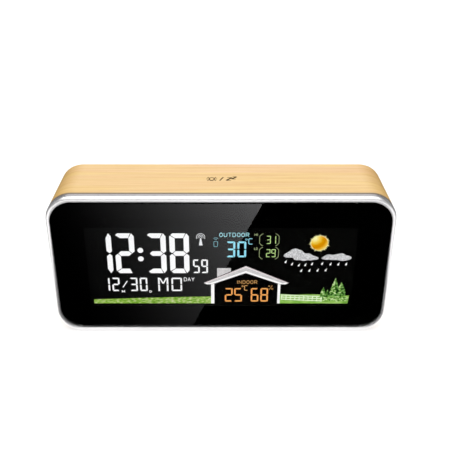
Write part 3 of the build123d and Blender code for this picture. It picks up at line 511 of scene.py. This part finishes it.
def arc(centre, radius, start, end, count=12, squash=1.0):
    """Points on an arc, in degrees from the right, anticlockwise."""
    made = []
    for k in range(count + 1):
        turn = math.radians(start + (end - start) * k / count)
        made.append((centre[0] + radius * math.cos(turn), centre[1] + radius * squash * math.sin(turn)))
    return made


def circle(centre, radius, sides=24, squash=1.0):
    """Points all round a circle."""
    return arc(centre, radius, 0, 360 - 360 / sides, sides - 1, squash)


def rectangle(x0, y0, x1, y1):
    """Corners of a rectangle, anticlockwise from (x0, y0)."""
    return [(x0, y0), (x1, y0), (x1, y1), (x0, y1)]


# How far (0, 0) of the display lies in front of its front polariser and above the middle of the
# face, in millimetres
DISPLAY_LIFT = 0.03
DISPLAY_RISE = 0.4


def display_sheet():
    """A sheet just in front of the front polariser."""
    origin = Vector((0.0, POLARISER_Y - DISPLAY_LIFT * MM, FACE_Z + DISPLAY_RISE * MM))
    return Sheet(origin, Vector((1, 0, 0)), Vector((0, 0, 1)), Vector((0, -1, 0)))


# ---- display: digits ----

# Bars of each digit: a, g and d from the top down, f and e at the left, b and c at the right
SEGMENTS = {
    "0": "abcdef", "1": "bc", "2": "abged", "3": "abgcd", "4": "fgbc", "5": "afgcd",
    "6": "afgedc", "7": "abc", "8": "abcdefg", "9": "abcdfg",
}


def digit(sheet, char, left, low, width, height, stroke, gap):
    """One digit of up to seven bars, stroke wide and gap apart. The joints at the right are steep,
    those at the left are shallow."""
    t, g = stroke, gap / 2
    right, top, mid = left + width, low + height, low + height / 2
    inner_left, inner_right = left + t, right - t

    def flipped(points):
        return [(x, low + top - y) for x, y in points]

    bar = [(left + 0.6 * t, top), (right - 0.6 * t - g, top), (inner_right - g, top - t),
           (inner_left + g, top - t), (left + 0.15 * t + g, top - 0.38 * t)]
    right_post = [(right - 0.55 * t + g, top), (right, top - 0.65 * t), (right, mid + 0.4 * t + g),
                  (right - 0.45 * t, mid + g), (inner_right, mid + 0.5 * t + g), (inner_right, top - t)]
    left_post = [(left + 0.1 * t, top - 0.42 * t - g), (inner_left, top - t - g),
                 (inner_left, mid + 0.5 * t + g), (left + 0.45 * t, mid + g), (left, mid + 0.4 * t + g),
                 (left, top - 0.7 * t)]
    middle = [(left + 0.5 * t + g, mid), (inner_left + g, mid + 0.5 * t), (inner_right - g, mid + 0.5 * t),
              (right - 0.5 * t - g, mid), (inner_right - g, mid - 0.5 * t), (inner_left + g, mid - 0.5 * t)]
    shapes = {
        "a": bar, "d": flipped(bar), "f": left_post, "b": right_post, "e": flipped(left_post),
        "c": flipped(right_post), "g": middle,
    }
    for name in SEGMENTS[char]:
        sheet.outline(shapes[name])


def number(sheet, text, lefts, low, width, height, stroke, gap):
    """Digits in a row, each with its own left edge."""
    for char, left in zip(text, lefts):
        digit(sheet, char, left, low, width, height, stroke, gap)


def celsius(sheet, left, low, width, height, stroke):
    """A degree ring and a C."""
    ring = width * 0.13
    sheet.stroke(arc((left + ring, low + height - ring), ring, 0, 330, 10), stroke * 0.6, closed=True)
    c_left, c_right, top, nick = left + width * 0.48, left + width, low + height, stroke
    sheet.stroke([(c_right, top), (c_left + nick, top), (c_left, top - nick), (c_left, low + nick),
                  (c_left + nick, low), (c_right, low)], stroke)


def clock_digits(white):
    """Hours and minutes, the colon and the small seconds."""
    sheet = display_sheet()
    low, height, width, stroke, gap = -5.15, 25.5, 10.8, 2.95, 0.45
    one_x = -60.6 - width
    number(sheet, "1238", (one_x, -58.8, -41.3, -28.5), low, width, height, stroke, gap)
    colon_x, dot = -44.8, 1.6
    for z in (9.6, 4.2):
        sheet.outline(circle((colon_x, z), dot))
    number(sheet, "59", (-15.7, -11.1), low, 3.75, 8.9, 0.92, 0.22)
    sheet.piece("lit_clock", white, "display_glass")


def calendar_row(white):
    """Month, slash and day in digits, then the weekday in two letters, M made of posts and
    diagonals and O as a wide 0."""
    sheet = display_sheet()
    low, height, width, stroke, gap = -17.2, 9.0, 4.3, 0.94, 0.18
    number(sheet, "1", (-63.3 - width,), low, width, height, stroke, gap)
    number(sheet, "230", (-62.0, -51.8, -46.2), low, width, height, stroke, gap)
    sheet.stroke([(-56.0, -14.7), (-53.3, -10.4)], 0.55)
    sheet.words("M", -56.8, -18.3, 1.8, 1.6, 0.4)
    sheet.words("D", -41.0, -18.2, 1.4, 1.4, 0.3)
    top, mid = low + height, low + height / 2
    for x in (-35.8 + stroke / 2, -30.0 - stroke / 2):
        sheet.stroke([(x, top), (x, mid + 0.15)], stroke)
        sheet.stroke([(x, mid - 0.15), (x, low)], stroke)
    sheet.stroke([(-34.7, top - 0.4), (-32.95, mid + 0.6)], 0.75)
    sheet.stroke([(-32.85, mid + 0.6), (-31.1, top - 0.4)], 0.75)
    wide_letter = 6.0
    digit(sheet, "0", -28.2, low, wide_letter, height, stroke, gap)
    sheet.words("DAY", -21.1, -10.6, 6.1, 2.6, 0.32, 0.42)
    sheet.piece("lit_calendar", white, "display_glass")


def radio_mast(white):
    """A mast with three rings of waves."""
    sheet = display_sheet()
    foot, low, high = -11.2, 12.8, 17.4
    sheet.outline([(foot - 1.0, low), (foot + 1.0, low), (foot + 0.3, high), (foot - 0.3, high)])
    for radius in (0.55, 1.4, 2.3):
        sheet.stroke(arc((foot, 17.9), radius, -25, 205, 16), 0.28)
    sheet.piece("lit_radio_mast", white, "display_glass")


def outdoor_reading(cyan):
    """Outdoor temperature with its unit."""
    sheet = display_sheet()
    number(sheet, "30", (3.0, 9.1), 5.2, 4.9, 10.1, 1.12, 0.3)
    celsius(sheet, 13.5, 13.6, 3.8, 3.4, 0.42)
    sheet.piece("lit_outdoor", cyan, "display_glass")


def sensor_mark(dim):
    """The outdoor sensor, a rounded body that sends two waves."""
    sheet = display_sheet()
    middle, half, low, high, corner = -2.9, 0.35, 12.0, 15.4, 0.7
    body = []
    turns = ((half, high - corner), (-half, high - corner), (-half, low + corner), (half, low + corner))
    for quarter, (across, z) in enumerate(turns):
        body += arc((middle + across, z), corner, 90 * quarter, 90 * quarter + 90, 4)
    sheet.stroke(body, 0.32, closed=True)
    for radius in (0.8, 1.7):
        sheet.stroke(arc((middle, 15.9), radius, 40, 140, 8), 0.28)
    sheet.piece("lit_sensor_mark", dim, "display_glass")


def outdoor_label(teal):
    """The outdoor group's label."""
    sheet = display_sheet()
    sheet.words("OUTDOOR", -0.9, 18.1, 16.4, 2.6, 0.26, 0.5)
    sheet.piece("lit_outdoor_label", teal, "display_glass")


def bracket(sheet, side, x, low, high):
    """A round-cornered bracket that opens away from side."""
    reach, curve = 1.9, 1.2
    lower = [(x - side * reach, low), (x - side * curve, low + 0.3), (x - side * 0.35, low + curve)]
    upper = [(a, low + high - b) for a, b in lower[::-1]]
    sheet.stroke(lower + [(x, low + 1.7), (x, high - 1.7)] + upper, 0.27)


def high_low(lime, olive):
    """Highest and lowest outdoor readings, in dimmer brackets with dim labels."""
    sheet, dim = display_sheet(), display_sheet()
    for text, low, label, label_z in (("31", 13.8, "HI", 18.7), ("29", 5.3, "LO", 9.9)):
        number(sheet, text, (25.1, 28.0), low, 2.35, 5.0, 0.43, 0.12)
        dim.words(label, 18.4, label_z, 1.9, 1.6, 0.26, 0.4)
        for side, x in ((-1, 21.3), (1, 32.0)):
            bracket(dim, side, x, low - 1.3, low + 6.3)
    dim.piece("lit_brackets", olive, "display_glass")
    sheet.piece("lit_high_low", lime, "display_glass")


def indoor_reading(amber, bronze):
    """Temperature and humidity inside the house mark, with dimmer units and label."""
    sheet, dim = display_sheet(), display_sheet()
    low, height, stroke, gap = -24.4, 9.2, 0.88, 0.22
    number(sheet, "25", (2.2, 7.55), low, 4.5, height, stroke, gap)
    number(sheet, "68", (17.1, 22.6), low, 4.4, height, stroke, gap)
    celsius(dim, 11.9, -16.7, 3.2, 3.2, 0.45)
    dim.stroke([(27.6, -16.3), (29.3, -13.4)], 0.28)
    for place in ((27.5, -13.9), (29.3, -15.8)):
        dim.stroke(arc(place, 0.40, 0, 330, 10), 0.2, closed=True)
    dim.words("INDOOR", 9.1, -12.4, 11.5, 2.4, 0.28, 0.5)
    dim.piece("lit_indoor_label", bronze, "display_glass")
    sheet.piece("lit_indoor", amber, "display_glass")


# ---- display: picture ----

HOUSE_MIDDLE = 14.05
HOUSE_RIDGE = (HOUSE_MIDDLE, -0.6)
HOUSE_UNDER = (HOUSE_MIDDLE, -5.1)

# At the left and the right: where the roof ends, and the inner and outer edge of the wall
EAVES = ((-9.7, -3.8, -5.7), (38.5, 32.4, 33.9))


def house_mark(white):
    """An open-fronted house: two roof slopes and two walls."""
    sheet = display_sheet()
    for tip, inside, outside in EAVES:
        under = [(inside, -12.1), (outside, -12.6), (tip * 0.93 + 0.98, -12.7)]
        sheet.outline([HOUSE_RIDGE, HOUSE_UNDER] + under + [(tip, -11.7)])
        sheet.outline([(inside, -12.3), (outside, -12.8), (outside, -25.7), (inside, -25.7)])
    sheet.piece("house_mark", white, "display_glass")


def roof_shade(grey, pink):
    """The grey face along the middle of the roof, its pinkish ridge edge, and the chimney."""
    face, edge = display_sheet(), display_sheet()
    for tip, _, _ in EAVES:
        side = 1 if tip > HOUSE_MIDDLE else -1
        lower = [(tip - 3.5 * side, -11.9), (tip - 1.5 * side, -11.5)]
        face.outline([(HOUSE_MIDDLE, -1.5), (HOUSE_MIDDLE, -3.7)] + lower, lift=0.05)
        edge.stroke([(HOUSE_MIDDLE, -0.95), (tip - 0.6 * side, -11.6)], 0.5, lift=0.1)
    face.outline([(-2.2, -1.9), (5.6, -1.9), (5.6, -4.0), (-2.2, -7.8)], lift=-0.02)
    face.piece("roof_face", grey, "display_glass")
    edge.piece("roof_edge", pink, "display_glass")


def softened(points, rounds=2):
    """Cuts the corners of a closed outline, again and again, so that it turns smoothly."""
    for _ in range(rounds):
        cut = []
        for (ax, ay), (bx, by) in zip(points, points[1:] + points[:1]):
            cut.append((ax * 0.75 + bx * 0.25, ay * 0.75 + by * 0.25))
            cut.append((ax * 0.25 + bx * 0.75, ay * 0.25 + by * 0.75))
        points = cut
    return points


# Points round each cloud, before its corners are softened
LARGE_CLOUD = ((34.9, 6.6), (36.7, 8.1), (38.2, 9.1), (39.6, 10.4), (42.0, 10.9), (43.4, 9.9), (44.9, 9.8),
               (45.8, 8.4), (47.1, 7.5), (49.0, 7.8), (50.5, 6.9), (51.3, 6.2), (53.2, 5.7), (54.7, 4.7),
               (53.7, 3.5), (51.3, 3.7), (50.4, 2.9), (48.9, 3.5), (46.0, 2.7), (44.6, 3.4), (42.2, 3.3),
               (40.9, 3.7), (40.3, 4.9), (38.2, 5.0), (36.3, 5.0), (35.0, 5.7))
SMALL_CLOUD = ((55.8, 4.7), (57.5, 5.8), (59.0, 6.9), (60.5, 7.1), (62.3, 6.6), (63.8, 7.0), (65.4, 7.4),
               (66.8, 7.8), (68.6, 7.4), (69.6, 6.5), (70.5, 6.3), (71.9, 6.0), (73.2, 4.9), (72.2, 3.8),
               (70.9, 3.4), (69.0, 2.9), (66.3, 3.0), (64.8, 3.6), (62.3, 3.3), (60.5, 3.8), (59.0, 3.5),
               (57.0, 3.8))


def clouds(pale):
    """A tall cloud and a long flat one, with billowed edges."""
    sheet = display_sheet()
    for edge in (LARGE_CLOUD, SMALL_CLOUD):
        sheet.outline(softened(list(edge)))
    sheet.piece("cloud_marks", pale, "display_glass")


def rain(white):
    """Leaning drops, pointed at the top."""
    sheet = display_sheet()
    upper = ((36.4, 2.3), (40.0, 0.8), (43.9, 0.1), (47.5, 0.3), (51.2, 0.9), (56.9, 1.1), (61.6, 0.8),
             (66.0, 0.7), (70.4, 0.8))
    lower = ((45.4, -3.5), (50.0, -3.4), (54.6, -3.3), (59.2, -3.1))
    lean = 0.45
    for x, z in upper + lower:
        drop = arc((x - lean * 0.6, z - 0.4), 0.48, 150, 375, 12) + [(x + lean, z + 1.15)]
        sheet.outline(drop)
    sheet.piece("rain_marks", white, "display_glass")


SUN = (54.4, 14.2)
SUN_RADIUS = 4.6
SUN_SQUASH = 0.97


def sun(disc, rays):
    """A disc in front of a ring of short uneven spikes."""
    sheet, spikes = display_sheet(), display_sheet()
    sheet.outline(circle(SUN, SUN_RADIUS, 60, SUN_SQUASH), lift=0.05)
    count = 30
    points = []
    for k in range(count * 2):
        reach = SUN_RADIUS + (0.95 + 0.40 * math.sin(k * 5.1) if k % 2 else 0.05)
        turn = 2 * math.pi * k / (count * 2)
        points.append((SUN[0] + reach * math.cos(turn), SUN[1] + reach * math.sin(turn) * SUN_SQUASH))
    spikes.outline(points)
    spikes.piece("sun_rays", rays, "display_glass")
    sheet.piece("sun_disc", disc, "display_glass")


def lawn_left(green):
    """Grass from the left end of the display to the house, rising a little."""
    sheet = display_sheet()
    top = [(-5.7, -20.9), (-30.0, -21.4), (-52.0, -22.1), (-73.2, -22.9)]
    sheet.outline([(-73.2, -25.6), (-5.7, -25.6)] + top)
    sheet.piece("lawn_left", green, "display_glass")


def lawn_right(green):
    """Grass from the house to the right end of the display."""
    sheet = display_sheet()
    top = [(73.6, -20.2), (66.0, -20.6), (58.0, -19.6), (50.0, -19.4), (42.0, -19.7), (33.9, -19.2)]
    sheet.outline([(33.9, -25.7), (73.1, -25.7)] + top)
    sheet.piece("lawn_right", green, "display_glass")


def fence(pale):
    """Pale rails and wide posts, going downhill to the right, in front of the right lawn."""
    sheet = display_sheet()
    left, right, fall = 34.4, 58.2, 1.2
    for rail in (-19.8, -21.2, -22.7):
        sheet.stroke([(left, rail), (right, rail - fall)], 0.7, lift=0.05)
    posts = 10
    for k in range(posts):
        x = left + 0.5 + k * (right - left - 1.0) / (posts - 1)
        drop = fall * k / (posts - 1)
        sheet.stroke([(x, -19.5 - drop), (x, -23.2 - drop)], 0.7, lift=0.05)
    sheet.piece("fence_mark", pale, "display_glass")


def conifer_edge(x, low, high, half, side):
    """One side of a tree, from its tip down, with a drooping step at each tier."""
    tiers = 5
    edge = []
    for k in range(tiers):
        down = (k + 1) / tiers
        z = high - (high - low) * down
        reach = half * math.sin(math.pi * 0.5 * down) ** 1.1
        edge += [(x + side * reach, z), (x + side * reach * 0.78, z + (high - low) * 0.02)]
    return edge[:-1]


# Middle, low end, tip, half width and lift of each tree
TREES = ((68.7, -20.3, -11.0, 3.0, 0.06), (65.1, -20.8, -8.3, 3.2, 0.11), (58.6, -21.2, -14.4, 2.0, 0.06),
         (61.0, -21.0, -16.1, 1.4, 0.11))


def trees(dark, light):
    """Four conifers on short trunks, lit from the left, behind a row of low bushes."""
    shadow, sunny = display_sheet(), display_sheet()
    for x, low, high, half, lift in TREES:
        right, left = (conifer_edge(x, low, high, half, side) for side in (1, -1))
        shadow.outline([(x, high)] + right + left[::-1], lift)
        shadow.outline(rectangle(x - 0.3, low - 1.5, x + 0.3, low), lift)
        inner = [(x + half * 0.25, low + 1.6), (x - half * 0.05, (low + high) / 2)]
        sunny.outline([(x, high)] + left[:-2] + inner, lift + 0.04)
    for x, half in ((59.6, 1.7), (63.4, 1.9), (67.0, 2.3), (71.0, 2.3)):
        sunny.outline(circle((x, -22.6), half, squash=0.75), 0.03)
    shadow.piece("tree_shade", dark, "display_glass")
    sunny.piece("tree_light", light, "display_glass")


def readings(white):
    """Every number, unit and label of the display."""
    clock_digits(white)
    calendar_row(white)
    radio_mast(lit("lit_mast", (0.90, 0.91, 0.93), 1.0))
    outdoor_reading(lit("lit_cyan", (0.31, 0.76, 0.92), 1.05))
    sensor_mark(lit("lit_dim_teal", (0.20, 0.44, 0.50), 1.0))
    outdoor_label(lit("lit_teal", (0.44, 0.88, 0.96), 1.2))
    lime = lit("lit_lime", (0.52, 0.76, 0.28), 1.06)
    high_low(lime, lit("lit_olive", (0.36, 0.44, 0.22), 1.0))
    amber = lit("lit_amber", (0.94, 0.41, 0.11), 1.03)
    indoor_reading(amber, lit("lit_bronze", (0.66, 0.36, 0.12), 1.0))


def house():
    """The house with its roof and chimney."""
    house_mark(lit("lit_roof", (0.96, 0.95, 0.94), 1.1, mottle=0.04, scale=(60, 60, 160)))
    slate = lit("lit_slate", (0.62, 0.60, 0.60), 1.08, mottle=0.12, scale=(500, 500, 500))
    roof_shade(slate, lit("lit_blush", (0.74, 0.64, 0.66), 1.05, mottle=0.06))


def weather(white):
    """Clouds, rain and the sun."""
    pale_stops = [(0.38, (0.42, 0.42, 0.43)), (0.5, (0.57, 0.57, 0.58)), (0.62, (0.84, 0.84, 0.84))]
    clouds(lit_pattern("lit_pale", pale_stops, (1300, 10, 1500), 1.05))
    rain(white)
    middle = Vector((SUN[0] * MM, POLARISER_Y, FACE_Z + SUN[1] * MM))
    gold = lit("lit_rays", (1.0, 0.86, 0.42), 1.15, mottle=0.15, scale=(900, 900, 900))
    sun(lit_sun(middle, SUN_RADIUS * MM), gold)


def garden():
    """The two lawns, the fence and the trees."""
    grass_stops = [(0.34, (0.10, 0.27, 0.01)), (0.45, (0.22, 0.47, 0.04)), (0.55, (0.40, 0.62, 0.11)),
                   (0.66, (0.74, 0.78, 0.46))]
    lawn_left(lit_pattern("lit_grass", grass_stops, (480, 10, 1700), 0.90))
    bank_stops = [(0.32, (0.11, 0.31, 0.03)), (0.50, (0.26, 0.52, 0.08)), (0.68, (0.46, 0.70, 0.20))]
    lawn_right(lit_pattern("lit_bank", bank_stops, (200, 10, 1100)))
    fence(lit("lit_rails", (0.74, 0.90, 0.58), 1.05, mottle=0.15, scale=(900, 900, 900)))
    leaf_stops = [(0.40, (0.008, 0.04, 0.006)), (0.50, (0.06, 0.19, 0.025)), (0.60, (0.20, 0.43, 0.10))]
    leaves = lit_pattern("lit_leaves", leaf_stops, (700, 700, 900))
    sunny_stops = [(0.40, (0.05, 0.17, 0.02)), (0.50, (0.23, 0.47, 0.08)), (0.61, (0.66, 0.83, 0.42))]
    trees(leaves, lit_pattern("lit_sunny", sunny_stops, (700, 700, 900)))


def display():
    """Everything that is lit behind the window."""
    white = lit("lit_white", (0.98, 0.98, 0.985), 1.10)
    readings(white)
    house()
    weather(white)
    garden()


# ---- printed marks on the case ----

TOUCH_LINE = 0.66


def lamp_sign(sheet, x, y):
    """A lamp on its foot, with three rays at each side."""
    sheet.stroke(circle((x, y), 1.5, squash=1.15), TOUCH_LINE, closed=True)
    sheet.stroke([(x - 0.9, y - 2.1), (x + 0.9, y - 2.1)], TOUCH_LINE)
    for angle in (-38, 0, 38, 142, 180, 218):
        turn = math.radians(angle)
        way = (math.cos(turn), math.sin(turn) * 1.2)
        sheet.stroke([(x + way[0] * r, y + way[1] * r) for r in (2.1, 3.0)], TOUCH_LINE)


def sleep_sign(sheet, left, low, width, height):
    """A leaning Z with a heavy slanting line."""
    lean, level, slant = 0.5, 0.5, 1.05
    right, top = left + width + lean, low + height
    sheet.stroke([(left + lean, top), (right, top)], level)
    sheet.stroke([(left, low), (left + width, low)], level)
    sheet.stroke([(right, top), (left, low)], slant)


def touch_mark():
    """Printed lamp, stroke and sleep sign over the touch area, on the top of the case."""
    brown = matt_ink("mark_brown", (0.028, 0.014, 0.006))
    origin = Vector((0.0, 0.0, TOP_Z))
    sheet = Sheet(origin, Vector((1, 0, 0)), Vector((0, 1, 0)), Vector((0, 0, 1)), thick=0.02)
    lamp_sign(sheet, -5.2, 1.1)
    sheet.stroke([(-0.7, -1.2), (1.3, 3.5)], TOUCH_LINE)
    sleep_sign(sheet, 3.0, -0.9, 2.6, 3.9)
    sleep_sign(sheet, 6.0, 0.9, 2.2, 3.2)
    sheet.piece("touch_mark", brown, "black_ink")


MARK_LINE = 0.32


def clock_sign(sheet, x, z):
    sheet.stroke(circle((x, z), 1.25), MARK_LINE, closed=True)
    sheet.stroke([(x, z + 0.8), (x, z), (x + 0.6, z - 0.3)], MARK_LINE)


def bell_sign(sheet, x, z):
    bell = arc((x, z + 0.35), 0.8, 0, 180, 10) + [(x - 1.15, z - 0.75), (x + 1.15, z - 0.75)]
    sheet.stroke(bell, MARK_LINE, closed=True)
    sheet.outline(circle((x, z - 1.15), 0.28, 12))


def stack_sign(sheet, x, z):
    for k in range(3):
        level = z - 0.9 + k * 0.85
        sheet.stroke([(x - 1.2, level), (x + 1.2, level)], MARK_LINE)


def wave_sign(sheet, x, z):
    for radius in (0.6, 1.2, 1.8):
        sheet.stroke(arc((x, z - 0.8), radius, 45, 135, 8), MARK_LINE)


def up_sign(sheet, x, z, way=1):
    sheet.outline([(x - 1.1, z - 0.8 * way), (x + 1.1, z - 0.8 * way), (x, z + 0.9 * way)])


def down_sign(sheet, x, z):
    up_sign(sheet, x, z, -1)


def key_marks():
    """Printed signs above the rear keys: a clock, a bell, a stack, waves, up and down."""
    pale = matt_ink("mark_pale", (0.55, 0.55, 0.56))
    origin = Vector((0.0, COVER_Y, 0.0))
    sheet = Sheet(origin, Vector((-1, 0, 0)), Vector((0, 0, 1)), Vector((0, 1, 0)), thick=0.03)
    signs = (clock_sign, bell_sign, stack_sign, wave_sign, up_sign, down_sign)
    rise = 1.7
    for name, sign in zip(KEY_NAMES, signs):
        low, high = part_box(name + "_key")
        sign(sheet, -(low.x + high.x) / 2 / MM, high.z / MM + rise)
    sheet.piece("key_marks", pale, "white_plastic")


# ---- studio ----

CAMERA_ELEVATION = math.radians(27.72)
CAMERA_DISTANCE = 0.4039
AIM = Vector((0.0, 0.0, 0.0594))
SENSOR_MM, LENS_MM = 36.0, 55.848
SIDE_SHIFT = 0.0089


def camera():
    """Straight in front of the object, looking down at it."""
    data = bpy.data.cameras.new("camera")
    data.sensor_width = SENSOR_MM
    data.lens = LENS_MM
    data.shift_x = SIDE_SHIFT
    data.clip_start = 0.01
    holder = bpy.data.objects.new("camera", data)
    bpy.context.scene.collection.objects.link(holder)
    away = Vector((0.0, -math.cos(CAMERA_ELEVATION), math.sin(CAMERA_ELEVATION)))
    holder.location = AIM + away * CAMERA_DISTANCE
    holder.rotation_euler = (math.pi / 2 - CAMERA_ELEVATION, 0.0, 0.0)
    bpy.context.scene.camera = holder


def top_light():
    """One very broad soft light, a little in front of straight above."""
    data = bpy.data.lights.new("top_light", "SUN")
    data.energy = 2.95
    data.angle = math.radians(70)
    holder = bpy.data.objects.new("top_light", data)
    bpy.context.scene.collection.objects.link(holder)
    holder.rotation_euler = (math.radians(18), 0.0, 0.0)


def world():
    """Even pale surroundings, whiter to the eye than to the surfaces they light, and dimmer at
    the left and right."""
    made = bpy.data.worlds.new("studio")
    bpy.context.scene.world = made
    made.use_nodes = True
    tree = made.node_tree
    tree.nodes.clear()
    path = tree.nodes.new("ShaderNodeLightPath")
    sky = tree.nodes.new("ShaderNodeBackground")
    output = tree.nodes.new("ShaderNodeOutputWorld")
    sky.inputs["Color"].default_value = (1.0, 1.0, 1.0, 1.0)
    lighting = spread(tree, distance_from_middle(tree, "X", "Generated"), 0.50, 0.18, 0.25, 0.75)
    seen = tree.nodes.new("ShaderNodeMix")
    tree.links.new(path.outputs["Is Camera Ray"], seen.inputs["Factor"])
    tree.links.new(lighting, seen.inputs["A"])
    seen.inputs["B"].default_value = 1.0
    tree.links.new(seen.outputs["Result"], sky.inputs["Strength"])
    tree.links.new(sky.outputs["Background"], output.inputs["Surface"])


def stage_mesh(name, points, faces, material):
    """A flat thing of the studio, which is no part of the object."""
    data = bpy.data.meshes.new(name)
    data.from_pydata(points, [], faces)
    data.materials.append(material)
    made = bpy.data.objects.new(name, data)
    bpy.context.scene.collection.objects.link(made)
    return made


def floor():
    """Wide pale floor, which glows a little so that it stays even."""
    pale, _, shader = new_material("floor_pale")
    shader.inputs["Base Color"].default_value = (0.45, 0.45, 0.45, 1.0)
    shader.inputs["Roughness"].default_value = 0.7
    shader.inputs["Emission Color"].default_value = (1.0, 1.0, 1.0, 1.0)
    shader.inputs["Emission Strength"].default_value = 0.62
    reach = 8.0
    corners = [(x, y, 0) for x, y in rectangle(-reach, -reach, reach, reach)]
    stage_mesh("floor", corners, [(0, 1, 2, 3)], pale)


def only_in_reflections(card):
    """Hides the card from every ray but glossy ones."""
    for ray in ("camera", "diffuse", "transmission", "volume_scatter", "shadow"):
        setattr(card, "visible_" + ray, False)


# Heights of the cards that lie on the floor, clear of it and of each other
CARD_HEIGHT, GLARE_HEIGHT = 0.0006, 0.0009

# Half the width of the flag, and how far in front of the object's middle it begins and ends
FLAG_HALF, FLAG_NEAR, FLAG_FAR = 0.150, 0.0275, 0.215


def flag():
    """Black card lying in front of the display, as a studio flag. Only reflections and rays that
    pass through the window see it."""
    black = matt_ink("flag_black", (0.0, 0.0, 0.0))
    places = rectangle(-FLAG_HALF, -FLAG_FAR, FLAG_HALF, -FLAG_NEAR)
    card = stage_mesh("flag", [(x, y, CARD_HEIGHT) for x, y in places], [(0, 1, 2, 3)], black)
    only_in_reflections(card)
    card.visible_transmission = True


# Opposite corners of the lying side flags, and place, near end and top of the standing ones
SIDE_FLAG_START, SIDE_FLAG_END = (0.11, 0.03), (1.6, 1.8)
SIDE_WALL_X, SIDE_WALL_START, SIDE_WALL_TOP = 0.45, -0.09, 0.5


def side_flags():
    """Black cards behind the case at the left and right, lying and standing, and seen only in
    reflections. They draw the dark band round the trim at its upper corners."""
    black = matt_ink("side_flag_black", (0.0, 0.0, 0.0))
    ground = rectangle(*SIDE_FLAG_START, *SIDE_FLAG_END)
    wall = rectangle(SIDE_WALL_START, CARD_HEIGHT, SIDE_FLAG_END[1], SIDE_WALL_TOP)
    for name, side in (("left", -1), ("right", 1)):
        lying = [(side * x, y, CARD_HEIGHT) for x, y in ground]
        standing = [(side * SIDE_WALL_X, y, z) for y, z in wall]
        only_in_reflections(stage_mesh("side_flag_" + name, lying, [(0, 1, 2, 3)], black))
        only_in_reflections(stage_mesh("side_wall_" + name, standing, [(0, 1, 2, 3)], black))


# Two points of the glare's slanting edge, and where it begins at the left, which leans with Y
GLARE_NEAR, GLARE_FAR = (-0.0162, -0.0304), (0.0335, -0.1934)
GLARE_START, GLARE_LEAN = -0.0690, 0.402

# How far it reaches in front of the object, how fast it grows to the right, and how bright it is
GLARE_REACH = 0.1942
GLARE_SLOPE = 1.88235
GLARE_GAIN = 24.0
GLARE_GAMMA = 2.2


def glare_grid(rows, columns):
    """Points of the glare card, row by row from the object outwards, with a glow for each."""
    points, glow = [], []
    for i in range(rows + 1):
        y = -FLAG_NEAR - (GLARE_REACH - FLAG_NEAR) * i / rows
        share = (y - GLARE_NEAR[1]) / (GLARE_FAR[1] - GLARE_NEAR[1])
        edge = GLARE_NEAR[0] + (GLARE_FAR[0] - GLARE_NEAR[0]) * share
        start = GLARE_START + GLARE_LEAN * y
        for j in range(columns + 1):
            x = start + (edge - start) * j / columns
            points.append((x, y, GLARE_HEIGHT))
            glow.append((GLARE_SLOPE * (x - start)) ** GLARE_GAMMA)
    return points, glow


def glare_light():
    """Light as strong as the mesh's glow says."""
    material, tree, shader = glowing("glare_light")
    shader.inputs["Emission Color"].default_value = (0.98, 0.98, 1.0, 1.0)
    level = tree.nodes.new("ShaderNodeAttribute")
    level.attribute_name = "glow"
    strength = spread(tree, level.outputs["Fac"], 0.0, GLARE_GAIN, 0.0, 1.0)
    tree.links.new(strength, shader.inputs["Emission Strength"])
    return material


def glare_card():
    """Bright card seen only in the window's first reflection. It lies in front of the case, grows
    brighter to the right and ends at a slanting edge. Its far end leaves a thin dark line along
    the top of the window."""
    rows, columns = 24, 40
    points, glow = glare_grid(rows, columns)
    across = columns + 1
    faces = [(i * across + j, i * across + j + 1, (i + 1) * across + j + 1, (i + 1) * across + j)
             for i in range(rows) for j in range(columns)]
    card = stage_mesh("glare_card", points, faces, glare_light())
    values = card.data.attributes.new("glow", "FLOAT", "POINT")
    values.data.foreach_set("value", glow)
    only_in_reflections(card)


def studio():
    """Light, floor, camera and cards."""
    bpy.context.scene.view_settings.view_transform = "Standard"
    world()
    floor()
    camera()
    top_light()
    flag()
    side_flags()
    glare_card()


studio()
dress_frame()
display()
touch_mark()
key_marks()
